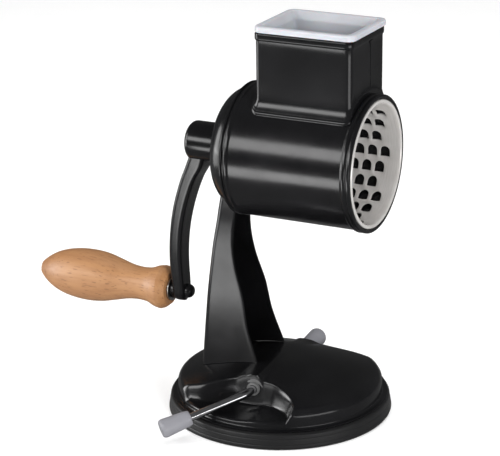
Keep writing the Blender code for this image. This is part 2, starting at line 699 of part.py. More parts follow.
def make_shaft(plate_x):
    """Drive shaft with a collar inside the housing, its bush, and the parts that hold them."""
    collar_end = plate_x - GAP
    piece(turned("drive_shaft", [
        (0, -0.0020), (0.0034, -0.0020), (SHAFT_END_RADIUS, -0.0026),
        (SHAFT_END_RADIUS, collar_end), (0.0075, collar_end), (0.0075, -0.0235),
        (SHAFT_RADIUS, -0.0235), (SHAFT_RADIUS, -0.0550), (0.0044, -0.0556), (0, -0.0556),
    ], DRUM_FRAME, SMALL), STEEL)
    bore = SHAFT_RADIUS + GAP + 0.00015
    piece(turned("shaft_bush", [
        (0.0081, -0.0240), (0.0081, COVER_X - GAP), (0.0110, COVER_X - GAP),
        (0.0110, COVER_X - 0.0012), (bore, COVER_X - 0.0012), (bore, -0.0240),
    ], DRUM_FRAME, MEDIUM, closed=True), BUSH)
    nut_low = COVER_X + SHEET + GAP
    piece(hexagon("bush_lock_nut", 0.0205, nut_low, nut_low + 0.0030, 0.0086, DRUM_FRAME), ZINC)
    piece(tube("thrust_washer", 0.0095, bore, HUB_INNER_X + GAP, HUB_INNER_X + 0.0011,
               DRUM_FRAME), ZINC)


def rounded_rectangle(x_low, x_high, width, height, corner):
    """Ring of 12 points at a height, around a rectangle with rounded corners."""
    points = []
    half = width / 2
    corner = min(corner, half * 0.98, (x_high - x_low) / 2 * 0.98)
    for cx, cy, start in ((x_high - corner, half - corner, 0), (x_low + corner, half - corner, 90),
                          (x_low + corner, corner - half, 180), (x_high - corner, corner - half, 270)):
        for turn in (0, 45, 90):
            angle = math.radians(start + turn)
            points.append((cx + corner * math.cos(angle), cy + corner * math.sin(angle), height))
    return points


def make_crank():
    """Crank arm with its hub, as one casting, and the screw that fixes it to the shaft."""
    rings = [rounded_rectangle(outer, inner, width, height, 0.0032)
             for height, outer, inner, width in CRANK_ARM]
    foot_height, foot_outer, foot_inner, foot_width = CRANK_ARM[-1]
    for turn in (25, 50, 72):
        angle = math.radians(turn)
        trim = 0.0012 * (1 - math.cos(angle))
        rings.append(rounded_rectangle(foot_outer + trim, foot_inner - trim,
                                       foot_width * math.cos(angle),
                                       foot_height - foot_width / 2 * math.sin(angle), 0.0032))
    arm = grid_surface("arm_form", rings, ring=True, caps=True)
    edge = 0.0040
    crank = turned("crank_arm", [
        (0, HUB_INNER_X), (HUB_RADIUS - 0.0006, HUB_INNER_X), (HUB_RADIUS, HUB_INNER_X - 0.0006),
        *arc((HUB_RADIUS - edge, HUB_OUTER_X + edge), edge, 0, -90, 3), (0, HUB_OUTER_X),
    ], DRUM_FRAME, MEDIUM)
    join(crank, arm, rod("handle_boss", 0.0060, -0.0746, -0.0700, HANDLE_FRAME, SMALL))
    cut(crank, rod("shaft_bore", SHAFT_RADIUS + GAP, -0.0560, -0.0300, DRUM_FRAME, SMALL),
        rod("bolt_bore", 0.0028, -0.0900, -0.0500, HANDLE_FRAME, TINY))
    screw_frame = Matrix.Translation((-0.0470, 0, DRUM_AXIS_Z)) @ ALONG_Y
    cut(crank, rod("screw_bore", 0.0023, 0.0045, 0.0200, screw_frame, TINY))
    piece(crank, ENAMEL)
    piece(rod("hub_set_screw", 0.0020, 0.0056, 0.0118, screw_frame, TINY), ZINC)


def make_handle():
    """Turned beech grip on a shoulder bolt, with a washer and a domed nut."""
    bore = 0.0038
    head_seat = -0.1640
    profile = list(GRIP) + [
        (-0.1705, 0.0046), (head_seat, 0.0046), (head_seat, bore), (-0.0765, bore),
    ]
    piece(turned("handle_grip", [(radius, x) for x, radius in profile], HANDLE_FRAME, MEDIUM,
                 closed=True), BEECH)
    shoulder_x = -0.0749 - GAP
    piece(turned("handle_bolt", [
        (0, -0.0616), (0.0020, -0.0616), (ROD_RADIUS, -0.0621), (ROD_RADIUS, shoulder_x - 0.0008),
        (0.0034, shoulder_x - 0.0008), (0.0034, head_seat - GAP), (0.0042, head_seat - GAP),
        (0.0040, head_seat - 0.0022), (0.0030, head_seat - 0.0028), (0, head_seat - 0.0028),
    ], HANDLE_FRAME, TINY), ZINC)
    piece(tube("handle_washer", 0.0078, 0.0030, shoulder_x - 0.0005, shoulder_x + 0.0003,
               HANDLE_FRAME), ZINC)
    arm_face = CRANK_ARM[-1][2] + GAP
    piece(turned("handle_nut", [
        (0, arm_face + 0.0042), (0.0024, arm_face + 0.0038), (0.0040, arm_face + 0.0024),
        (0.0046, arm_face), (0.0028, arm_face), (0.0028, -0.0613), (0, -0.0613),
    ], HANDLE_FRAME, TINY), ENAMEL)


make_pad()
make_casing()
make_guide_plate()
make_axle_bushes()
make_stem()
make_lever()
make_column()
make_column_rivets()
make_tab_screws()
make_housing()
make_rear_cover()
make_hopper()
make_pusher()
make_shaft(make_drum())
make_crank()
make_handle()
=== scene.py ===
"""Rotary cheese grater on a suction base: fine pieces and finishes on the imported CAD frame.

Metres, +Z up, origin at the centre of the base's underside. The drum's axis runs along +X.
"""
import math

import bmesh
import bpy
import numpy as np
from mathutils import Matrix, Vector


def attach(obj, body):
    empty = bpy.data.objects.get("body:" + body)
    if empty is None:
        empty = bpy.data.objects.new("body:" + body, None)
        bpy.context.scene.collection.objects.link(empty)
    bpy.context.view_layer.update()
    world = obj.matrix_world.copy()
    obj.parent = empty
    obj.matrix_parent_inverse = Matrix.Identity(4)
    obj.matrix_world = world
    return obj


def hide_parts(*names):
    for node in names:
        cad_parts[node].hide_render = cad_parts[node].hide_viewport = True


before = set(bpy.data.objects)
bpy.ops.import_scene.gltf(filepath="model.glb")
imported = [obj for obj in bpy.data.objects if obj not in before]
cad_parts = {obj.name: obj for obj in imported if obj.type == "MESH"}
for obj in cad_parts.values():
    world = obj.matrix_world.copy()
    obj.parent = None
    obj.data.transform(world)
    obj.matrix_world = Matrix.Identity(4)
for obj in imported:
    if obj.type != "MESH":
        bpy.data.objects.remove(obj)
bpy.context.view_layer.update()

# ---------------------------------------------------------------- dimensions shared with the CAD
GAP = 0.0003
SHEET = 0.0012
PAD_RADIUS = 0.0700
FLANGE_Z = 0.0100
FLANGE_RADIUS = 0.0674
WALL_RADIUS = 0.0640
CROWN_Z = 0.0350
AXLE_Z = 0.0250
ROD_RADIUS = 0.0025
THROW = 0.0020
LEVER_BEND = Vector((0.0, -0.0470, 0.0250))
LEVER_END = Vector((-0.0374, -0.0824, 0.0100))
DRUM_Z = 0.1664
DRUM_RADIUS = 0.0372
DRUM_WALL = 0.0008
DRUM_BACK_X = -0.0145
MOUTH_X = 0.0650
RIM_RADIUS = 0.0387
HOUSING_RADIUS = 0.0405
HOUSING_BACK_X = -0.0184
HOUSING_FRONT_X = 0.0645
COVER_X = -0.0332
COVER_SIDE = 0.0385
COVER_EDGE = 0.0150
HOPPER_LOW = (-0.0038, -0.0249)
HOPPER_HIGH = (0.0579, 0.0249)
HOPPER_TOP_Z = 0.2450
HOPPER_CORNER = 0.0035
PUSHER_LOW = (-0.0010, -0.0229)
PUSHER_HIGH = (0.0560, 0.0229)
PUSHER_FLANGE_LOW = (-0.0046, -0.0263)
PUSHER_FLANGE_HIGH = (0.0598, 0.0263)
PUSHER_TOP_Z = 0.2490
HUB_RADIUS = 0.0125
HUB_INNER_X = -0.0358
HUB_OUTER_X = -0.0600
HANDLE_Z = 0.0660
TAB_TOP_Z = 0.1520

# Column: height, half width, outer face of the web, free edge of the flanges.
COLUMN = [
    (0.0220, 0.0209, -0.0457, -0.0025), (0.0340, 0.0200, -0.0450, -0.0065),
    (0.0570, 0.0182, -0.0439, -0.0145), (0.0750, 0.0168, -0.0429, -0.0180),
    (0.0950, 0.0150, -0.0412, -0.0242), (0.1050, 0.0141, -0.0402, -0.0260),
    (0.1190, 0.0125, -0.0383, -0.0263), (0.1300, 0.0110, -0.0371, -0.0250),
    (0.1360, 0.0104, -0.0362, -0.0250), (0.1410, 0.0100, -0.0350, -0.0250),
    (TAB_TOP_Z, 0.0090, -0.0348, -0.0250),
]

# Plan outline (x, y) of the base's front pocket; the rear one is turned by 180 degrees.
POCKET_WALL = [
    (-0.0760, -0.0465), (-0.0400, -0.0465), (-0.0320, -0.0455), (-0.0240, -0.0422),
    (-0.0170, -0.0388), (-0.0100, -0.0368), (0.0100, -0.0368), (0.0170, -0.0388),
    (0.0240, -0.0425), (0.0290, -0.0465), (0.0320, -0.0520), (0.0340, -0.0760),
]

# Crank arm: height, outer face, inner face, width along Y.
CRANK_ARM = [
    (0.1600, -0.0575, -0.0470, 0.0170), (0.1510, -0.0610, -0.0497, 0.0168),
    (0.1425, -0.0646, -0.0545, 0.0164), (0.1330, -0.0678, -0.0583, 0.0160),
    (0.1234, -0.0705, -0.0613, 0.0155), (0.1056, -0.0735, -0.0649, 0.0146),
    (0.0865, -0.0744, -0.0659, 0.0138), (0.0720, -0.0734, -0.0651, 0.0132),
    (HANDLE_Z, -0.0728, -0.0648, 0.0130),
]

# Handle grip behind its ridge: x, radius.
GRIP = [
    (-0.0824, 0.0139), (-0.0860, 0.0132), (-0.0900, 0.0115), (-0.0960, 0.0106),
    (-0.1060, 0.0113), (-0.1150, 0.0135), (-0.1250, 0.0158), (-0.1360, 0.0166),
    (-0.1450, 0.0160), (-0.1570, 0.0132), (-0.1610, 0.0115), (-0.1660, 0.0085),
    (-0.1690, 0.0062), (-0.1705, 0.0049),
]

ALONG_X = Matrix.Rotation(math.radians(90), 4, "Y")
ALONG_Y = Matrix.Rotation(math.radians(-90), 4, "X")
DRUM_FRAME = Matrix.Translation((0, 0, DRUM_Z)) @ ALONG_X
HANDLE_FRAME = Matrix.Translation((0, 0, HANDLE_Z)) @ ALONG_X
AXLE_FRAME = Matrix.Translation((0, 0, AXLE_Z)) @ ALONG_Y
HIGH, FINE, MEDIUM = 192, 96, 48      # sides of a turned piece


# ---------------------------------------------------------------- finishes
class Finish:
    """A Principled material under construction, with short ways to add nodes and links."""

    def __init__(self, name, metallic=0.0, **sockets):
        self.material = bpy.data.materials.new(name)
        self.material.use_nodes = True
        self.tree = self.material.node_tree
        self.shader = self.tree.nodes["Principled BSDF"]
        self.shader.inputs["Metallic"].default_value = metallic
        for socket, value in sockets.items():
            self.shader.inputs[socket.replace("_", " ")].default_value = value
        self.place = self.tree.nodes.new("ShaderNodeTexCoord").outputs["Object"]

    def link(self, source, target):
        self.tree.links.new(source, target)

    def stretched(self, scale, turn=(0, 0, 0)):
        node = self.tree.nodes.new("ShaderNodeMapping")
        node.inputs["Scale"].default_value = scale
        node.inputs["Rotation"].default_value = turn
        self.link(self.place, node.inputs["Vector"])
        return node.outputs["Vector"]

    def noise(self, scale, detail=2.0, roughness=0.5, place=None, distortion=0.0):
        node = self.tree.nodes.new("ShaderNodeTexNoise")
        node.inputs["Scale"].default_value = scale
        node.inputs["Detail"].default_value = detail
        node.inputs["Roughness"].default_value = roughness
        node.inputs["Distortion"].default_value = distortion
        self.link(place or self.place, node.inputs["Vector"])
        return node.outputs["Fac"]

    def spread(self, value, low, high, out_low, out_high):
        node = self.tree.nodes.new("ShaderNodeMapRange")
        for socket, number in (("From Min", low), ("From Max", high),
                               ("To Min", out_low), ("To Max", out_high)):
            node.inputs[socket].default_value = number
        self.link(value, node.inputs["Value"])
        return node.outputs["Result"]

    def mottle(self, scale, detail):
        """Soft clouds from 0 to 1."""
        return self.spread(self.noise(scale, detail), 0.3, 0.7, 0.0, 1.0)

    def blend(self, factor, first, second):
        """Mix of two colours; each is a colour or an output socket."""
        node = self.tree.nodes.new("ShaderNodeMix")
        node.data_type = "RGBA"
        self.link(factor, node.inputs[0])
        for socket, colour in ((node.inputs[6], first), (node.inputs[7], second)):
            if isinstance(colour, tuple):
                socket.default_value = (*colour, 1)
            else:
                self.link(colour, socket)
        return node.outputs[2]

    def colour(self, output):
        self.link(output, self.shader.inputs["Base Color"])

    def roughness(self, noise, smooth, rough, margin=0.3):
        """Roughness between two values, following a noise."""
        value = self.spread(noise, margin, 1 - margin, smooth, rough)
        self.link(value, self.shader.inputs["Roughness"])

    def bump(self, height, distance, strength=1.0, under=None):
        node = self.tree.nodes.new("ShaderNodeBump")
        node.inputs["Distance"].default_value = distance
        node.inputs["Strength"].default_value = strength
        self.link(height, node.inputs["Height"])
        if under is not None:
            self.link(under, node.inputs["Normal"])
        self.link(node.outputs["Normal"], self.shader.inputs["Normal"])
        return node.outputs["Normal"]


def enamel():
    """Black enamel: deep gloss with a faint orange peel, dust specks and softer patches."""
    look = Finish("black_enamel_finish", IOR=1.45)
    base = look.blend(look.mottle(28, 3), (0.0028, 0.0028, 0.0031), (0.0060, 0.0060, 0.0066))
    speck = look.spread(look.noise(1900, 1, 0.4), 0.74, 0.80, 0.0, 0.35)
    look.colour(look.blend(speck, base, (0.035, 0.035, 0.037)))
    look.roughness(look.noise(60, 4, 0.6), 0.15, 0.24, margin=0.25)
    peel = look.bump(look.noise(170, 2), 0.00006, 0.30)
    look.bump(look.noise(900, 1), 0.000008, 0.25, peel)
    return look.material


def steel():
    """Rolled stainless sheet: fine lines around the drum, warm grey, with a satin haze."""
    look = Finish("stainless_steel_finish", metallic=0.55)
    lines = look.noise(900, 2, 0.6, look.stretched((4.0, 0.12, 0.12)))
    base = look.blend(look.mottle(45, 3), (0.74, 0.715, 0.69), (0.82, 0.80, 0.78))
    look.colour(look.blend(look.spread(lines, 0.35, 0.7, 0.0, 0.30), base, (0.42, 0.40, 0.38)))
    look.roughness(look.noise(120, 3), 0.17, 0.27)
    look.bump(lines, 0.00001, 0.35)
    return look.material


def zinc():
    """Zinc plating: satin grey with a faint yellow cast and a fine crystal mottle."""
    look = Finish("zinc_finish", metallic=1.0)
    grain = look.noise(800, 3, 0.7)
    cast = look.blend(look.spread(look.noise(90, 2), 0.35, 0.65, 0.0, 1.0),
                      (0.50, 0.50, 0.51), (0.58, 0.565, 0.52))
    look.colour(look.blend(look.spread(grain, 0.35, 0.7, 0.0, 0.35), cast, (0.34, 0.34, 0.35)))
    look.roughness(grain, 0.28, 0.46)
    look.bump(grain, 0.000015, 0.30)
    return look.material


def chrome():
    """Polished plating with faint drawing lines."""
    look = Finish("chrome_finish", metallic=1.0)
    haze = look.spread(look.noise(140, 3), 0.35, 0.7, 0.0, 1.0)
    look.colour(look.blend(haze, (0.80, 0.80, 0.82), (0.66, 0.66, 0.68)))
    look.roughness(look.noise(300, 2), 0.12, 0.20)
    look.bump(look.noise(500, 2, 0.5, look.stretched((1, 0.1, 1))), 0.000006, 0.3)
    return look.material


def rubber():
    """Satin rubber with a fine moulded grain and a pale bloom."""
    look = Finish("rubber_finish", Sheen_Weight=0.05, Sheen_Roughness=0.5)
    bloom = look.spread(look.noise(36, 4, 0.6), 0.35, 0.75, 0.0, 0.8)
    look.colour(look.blend(bloom, (0.004, 0.004, 0.0044), (0.008, 0.008, 0.0084)))
    grain = look.noise(1400, 3, 0.6)
    look.roughness(grain, 0.42, 0.58)
    look.bump(grain, 0.00003, 0.35)
    return look.material


def beech():
    """Beech along the handle: soft growth bands, fine pores and short darker flecks."""
    look = Finish("beech_finish", Coat_Weight=0.10, Coat_Roughness=0.30)
    bands = look.noise(70, 4, 0.55, look.stretched((0.10, 1.0, 0.55), (0.05, 0.1, 0)), 0.6)
    base = look.blend(look.spread(bands, 0.32, 0.68, 0.0, 1.0),
                      (0.35, 0.180, 0.077), (0.27, 0.127, 0.051))
    streak = look.noise(420, 3, 0.6, look.stretched((0.045, 1.0, 1.0)))
    base = look.blend(look.spread(streak, 0.42, 0.72, 0.0, 0.45), base, (0.22, 0.095, 0.036))
    fleck = look.noise(1000, 1, 0.4, look.stretched((0.16, 1.0, 1.0)))
    marks = look.spread(fleck, 0.63, 0.70, 0.0, 0.75)
    look.colour(look.blend(marks, base, (0.175, 0.075, 0.029)))
    look.roughness(streak, 0.42, 0.58)
    pores = look.bump(look.spread(fleck, 0.60, 0.70, 1.0, 0.0), 0.00004, 0.35)
    look.bump(streak, 0.00003, 0.25, pores)
    return look.material


def plastic(name, light, dark, smooth, rough, **sockets):
    """Moulded plastic: slight colour variation and a fine spark-eroded grain."""
    look = Finish(name, **sockets)
    look.colour(look.blend(look.mottle(55, 3), light, dark))
    grain = look.noise(1500, 2, 0.6)
    look.roughness(grain, smooth, rough)
    look.bump(grain, 0.00002, 0.25)
    return look.material


LOOKS = {
    "black_enamel": enamel(),
    "stainless_steel": steel(),
    "zinc_plated_steel": zinc(),
    "chrome": chrome(),
    "rubber": rubber(),
    "beech": beech(),
    "grey_cap_plastic": plastic("grey_cap_finish", (0.20, 0.20, 0.217), (0.17, 0.17, 0.187),
                                0.36, 0.50),
    "pusher_plastic": plastic("pusher_finish", (0.42, 0.43, 0.46), (0.37, 0.38, 0.41), 0.30, 0.44,
                              Subsurface_Weight=0.25, Subsurface_Scale=0.004),
    "bush_plastic": plastic("bush_finish", (0.12, 0.12, 0.12), (0.09, 0.09, 0.09), 0.40, 0.55),
}


# ---------------------------------------------------------------- shape helpers
def new_object(name, mesh, place=None):
    made = bpy.data.objects.new(name, mesh)
    bpy.context.scene.collection.objects.link(made)
    if place is not None:
        mesh.transform(place)
    return made


def facing_out(mesh, merge=None):
    """Turn every face of a closed mesh outwards, after merging points closer than a distance."""
    shape = bmesh.new()
    shape.from_mesh(mesh)
    if merge is not None:
        bmesh.ops.remove_doubles(shape, verts=shape.verts, dist=merge)
    bmesh.ops.recalc_face_normals(shape, faces=shape.faces)
    shape.to_mesh(mesh)
    shape.free()


def loft(name, rows, loop=False, caps=(False, False), place=None):
    """Surface through rows that each close on themselves; a loop joins the last to the first."""
    rows = [np.asarray(row, float) for row in rows]
    count = len(rows[0])
    points = [tuple(point) for row in rows for point in row]
    faces = []
    for i in range(len(rows) if loop else len(rows) - 1):
        low, high = i * count, (i + 1) % len(rows) * count
        for j in range(count):
            k = (j + 1) % count
            faces.append((low + j, low + k, high + k, high + j))
    for wanted, start, row in ((caps[0], 0, rows[0]), (caps[1], (len(rows) - 1) * count, rows[-1])):
        if wanted:
            points.append(tuple(row.mean(axis=0)))
            faces += [(start + j, start + (j + 1) % count, len(points) - 1) for j in range(count)]
    mesh = bpy.data.meshes.new(name)
    mesh.from_pydata(points, [], faces)
    facing_out(mesh)
    return new_object(name, mesh, place)


def softened(points, size=0.0003, closed=False):
    """Profile with its corners rounded; a point's third number is its own size."""
    result, steps = [], 4
    for i, point in enumerate(points):
        here = Vector(point[:2])
        reach = point[2] if len(point) > 2 else size
        if reach == 0 or (not closed and i in (0, len(points) - 1)):
            result.append(tuple(here))
            continue
        before, after = Vector(points[i - 1][:2]), Vector(points[(i + 1) % len(points)][:2])
        start = here.lerp(before, min(0.48, reach / max(1e-9, (before - here).length)))
        end = here.lerp(after, min(0.48, reach / max(1e-9, (after - here).length)))
        for step in range(steps + 1):
            t = step / steps
            result.append(tuple(start * (1 - t) ** 2 + here * (2 * t * (1 - t)) + end * t * t))
    return result


def turned(name, profile, place=None, sides=FINE, closed=False, soft=0.0003):
    """Turned piece from (radius, height[, corner size]). An open profile ends on the axis."""
    profile = softened(profile, soft, closed)
    angles = np.arange(sides) * 2 * math.pi / sides
    rows, tips = [], [False, False]
    for i, (radius, height) in enumerate(profile):
        if radius < 1e-9:
            tips[0 if i == 0 else 1] = True
            continue
        rows.append(np.stack([radius * np.cos(angles), radius * np.sin(angles),
                              np.full(sides, height)], axis=1))
    return loft(name, rows, loop=closed, caps=tips, place=place)


def rod(name, radius, low, high, place):
    """Straight pin with square edges, for cutting a bore."""
    return turned(name, [(0, high), (radius, high), (radius, low), (0, low)], place, MEDIUM, soft=0)


def arc(centre, radius, start, end, steps):
    """Points of an arc in (radius, height), each without further rounding."""
    turns = [math.radians(start + (end - start) * i / steps) for i in range(steps + 1)]
    return [(centre[0] + radius * math.cos(turn), centre[1] + radius * math.sin(turn), 0)
            for turn in turns]


def box_ring(low, high, corner, grow=0.0, along=14, around=7):
    """(x, y) ring around a rectangle with round corners, with points along its sides too."""
    x0, y0, x1, y1 = low[0] - grow, low[1] - grow, high[0] + grow, high[1] + grow
    corner = max(0.0002, corner + grow)
    centres = ((x1 - corner, y1 - corner, 0), (x0 + corner, y1 - corner, 90),
               (x0 + corner, y0 + corner, 180), (x1 - corner, y0 + corner, 270))
    points = []
    for i, (cx, cy, start) in enumerate(centres):
        bend = [(cx + corner * math.cos(math.radians(start + 90 * s / around)),
                 cy + corner * math.sin(math.radians(start + 90 * s / around)))
                for s in range(around + 1)]
        nx, ny, next_start = centres[(i + 1) % 4]
        goal = (nx + corner * math.cos(math.radians(next_start)),
                ny + corner * math.sin(math.radians(next_start)))
        points += bend
        points += [(bend[-1][0] + (goal[0] - bend[-1][0]) * s / along,
                    bend[-1][1] + (goal[1] - bend[-1][1]) * s / along) for s in range(1, along)]
    return np.array(points)


def at_height(ring, height):
    """Ring of (x, y) lifted to a height, or to one height for each point."""
    return np.column_stack([ring, np.broadcast_to(height, len(ring))])


def eased(table, at):
    """Smooth curve through a table's rows, read at new values of its first column."""
    rows = np.array(sorted(table), float)
    key, value = rows[:, 0], rows[:, 1:]
    slope = np.gradient(value, key, axis=0)
    at = np.asarray(at, float)
    i = np.clip(np.searchsorted(key, at) - 1, 0, len(key) - 2)
    gap = (key[i + 1] - key[i])[:, None]
    u = ((at - key[i]) / (key[i + 1] - key[i]))[:, None]
    return ((2 * u ** 3 - 3 * u ** 2 + 1) * value[i] + (u ** 3 - 2 * u ** 2 + u) * gap * slope[i]
            + (3 * u ** 2 - 2 * u ** 3) * value[i + 1] + (u ** 3 - u ** 2) * gap * slope[i + 1])


def apply_modifiers(made):
    """Keep the mesh that the modifiers give."""
    bpy.context.view_layer.update()
    evaluated = made.evaluated_get(bpy.context.evaluated_depsgraph_get())
    made.data = bpy.data.meshes.new_from_object(evaluated)
    made.modifiers.clear()


def boolean(made, operation, *others):
    """Cut, join or intersect a piece with others, which are used up."""
    for other in others:
        step = made.modifiers.new("shape", "BOOLEAN")
        step.operation = operation
        step.solver = "EXACT"
        step.object = other
        apply_modifiers(made)
        bpy.data.objects.remove(other, do_unlink=True)


def thickened(made, thickness):
    """Give a sheet its thickness, on its inner side."""
    skin = made.modifiers.new("thickness", "SOLIDIFY")
    skin.thickness = thickness
    skin.offset = -1.0
    apply_modifiers(made)
    facing_out(made.data)


def finished(made, body, slot, *nodes, angle=32):
    """Shade a piece, give it its finish, and let it stand for its CAD nodes on their body."""
    made.data.shade_smooth()
    made.data.set_sharp_from_angle(angle=math.radians(angle))
    made.data.materials.clear()
    made.data.materials.append(LOOKS[slot])
    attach(made, body)
    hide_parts(*nodes)


def smoothstep(value):
    """Smooth rise from 0 to 1 as the value goes from 0 to 1."""
    t = np.clip(value, 0.0, 1.0)
    return t * t * (3 - 2 * t)


# ---------------------------------------------------------------- base
def crown_height(radius):
    """Height of the casing's top: a nearly flat crown that turns softly into a cone."""
    crown_radius, turn_radius, half_slope = 0.0200, 0.0080, 0.15

    def fall(at):
        off = at - crown_radius
        return half_slope * (off + np.hypot(off, turn_radius))
    return CROWN_Z - fall(radius) + fall(0.0)


def rounded_outline(points, rounds=3):
    """Open outline with its corners cut again and again until it is smooth."""
    for _ in range(rounds):
        cut = [points[0]]
        for (ax, ay), (bx, by) in zip(points, points[1:]):
            cut += [(ax * 0.75 + bx * 0.25, ay * 0.75 + by * 0.25),
                    (ax * 0.25 + bx * 0.75, ay * 0.25 + by * 0.75)]
        points = cut + [points[-1]]
    return points


OUTLINE = rounded_outline(POCKET_WALL)


def outside_pocket(x, y):
    """Signed distance from the front pocket's outline, positive on the dome's side."""
    far, beyond_y = 1.0, -0.2
    nearest = np.full(x.shape, far)
    crossings = np.zeros(x.shape, int)
    closed = OUTLINE + [(OUTLINE[-1][0], beyond_y), (OUTLINE[0][0], beyond_y)]
    for i, ((ax, ay), (bx, by)) in enumerate(zip(closed, closed[1:] + closed[:1])):
        if i < len(OUTLINE) - 1:
            dx, dy = bx - ax, by - ay
            t = np.clip(((x - ax) * dx + (y - ay) * dy) / (dx * dx + dy * dy), 0, 1)
            nearest = np.minimum(nearest, np.hypot(x - ax - t * dx, y - ay - t * dy))
        if ax != bx:
            between = (x > min(ax, bx)) & (x <= max(ax, bx))
            crossings += between & (y < ay + (by - ay) * (x - ax) / (bx - ax))
    return np.where(crossings % 2 == 1, -nearest, nearest)


def casing_top(x, y):
    """Height of the pressed casing: dome, pockets around the axle's ends, and its tunnel.

    The rear half is the front half turned by 180 degrees, with a lower tunnel.
    """
    rear = y > 0
    side = np.where(rear, -1.0, 1.0)
    x, y = x * side, y * side
    crown = crown_height(np.hypot(x, y))
    floor = (0.0147 + 0.0011 * smoothstep((x + 0.002) / 0.014)
             + 0.0006 * np.exp(-((x - 0.004) ** 2 + (y + 0.047) ** 2) / 0.0022 ** 2))
    wall = 0.0032 + 0.0014 * smoothstep((np.abs(x) - 0.012) / 0.014)
    dome = floor + (crown - floor) * smoothstep((outside_pocket(x, y) + wall / 2) / wall)
    tunnel_x, tunnel_top, rear_drop, tunnel_end, end_round = -0.001, 0.0331, 0.0021, -0.0385, 0.0030
    right = np.maximum(0, x - tunnel_x) * 1000
    left = np.maximum(0, tunnel_x - x) * 1000
    tunnel = tunnel_top - rear_drop * rear - 1.65e-6 * right ** 4.2 - 5.65e-6 * left ** 2.9
    tunnel = floor + (np.maximum(tunnel, floor) - floor) * smoothstep((y - tunnel_end) / end_round)
    blend = 0.0042
    overlap = np.maximum(blend - np.abs(dome - tunnel), 0) / blend
    overlap = overlap * smoothstep((tunnel - floor) / 0.003)
    return np.maximum(dome, tunnel) + overlap * overlap * blend / 4


def make_casing():
    """Pressed casing: one sheet from the crown over the shoulder to the rolled flange."""
    sides = 640
    angles = np.arange(sides) * 2 * math.pi / sides
    angles = angles + 0.35 * np.sin(2 * angles)      # closer together beside the axle's ends
    cos, sin = np.cos(angles), np.sin(angles)
    edge_radius, smoothings = 0.0600, 30
    edge = casing_top(edge_radius * cos, edge_radius * sin)
    shoulder = np.clip((edge - 0.0118) * 0.5, 0.0012, 0.0042)
    for _ in range(smoothings):
        shoulder = (shoulder + np.roll(shoulder, 1) + np.roll(shoulder, -1)) / 3
    foot, fillet = FLANGE_Z + SHEET, 0.0013

    def ring(radius, height=None, drop=0.0):
        x, y = radius * cos, radius * sin
        return at_height(np.column_stack([x, y]), casing_top(x, y) - drop if height is None else height)

    start = WALL_RADIUS - shoulder
    marks = np.concatenate([np.linspace(0.02, 0.46, 20), np.linspace(0.47, 0.60, 22),
                            np.linspace(0.603, 0.66, 24), np.linspace(0.665, 0.99, 56)])
    rows = [ring(mark * start) for mark in marks]
    rows += [ring(start + shoulder * math.sin(turn), drop=shoulder * (1 - math.cos(turn)))
             for turn in np.radians(np.linspace(0, 90, 9))]
    low = rows[-1][:, 2]
    rows += [ring(WALL_RADIUS, low + (foot + fillet - low) * share) for share in (0.34, 0.67, 1.0)]
    rows += [ring(WALL_RADIUS + fillet * (1 - math.cos(turn)), foot + fillet * (1 - math.sin(turn)))
             for turn in np.radians(np.linspace(18, 90, 5))]
    rows += [ring(0.0662, foot), ring(FLANGE_RADIUS - 0.0003, foot),
             ring(FLANGE_RADIUS, foot - 0.00025)]
    sheet = loft("casing_shell", rows, caps=(True, False))
    if sum(face.normal.z * face.area for face in sheet.data.polygons) < 0:
        sheet.data.flip_normals()
    thickened(sheet, SHEET - 0.0002)
    finished(sheet, "stand", "black_enamel", "base_casing", angle=50)


def make_pad():
    """Rubber pad: dished sole, rounded lip with two faint grooves, socket for the stem's foot."""
    pad = turned("suction_ring", [
        (0, 0.0032), (0.0118, 0.0032), (0.0118, 0.0062), (0.0090, 0.0062), (0.0090, 0.0092),
        (0.0160, 0.0092), (0.0175, 0.0040), (0.0585, 0.0034), (0.0600, 0.0096, 0.0006),
        (0.0686, 0.0096, 0.0009), (0.0690, 0.0070), (0.06893, 0.0066), (0.06915, 0.0062),
        (0.0696, 0.0034), (0.06953, 0.0030), (0.0698, 0.0026), (PAD_RADIUS, 0.0010, 0.0006),
        (0.0692, 0, 0.0006), (0.0640, 0.0, 0.0006), (0.0560, 0.0012, 0.002), (0, 0.0016),
    ], sides=HIGH, soft=0.0003)
    finished(pad, "stand", "rubber", "suction_pad")


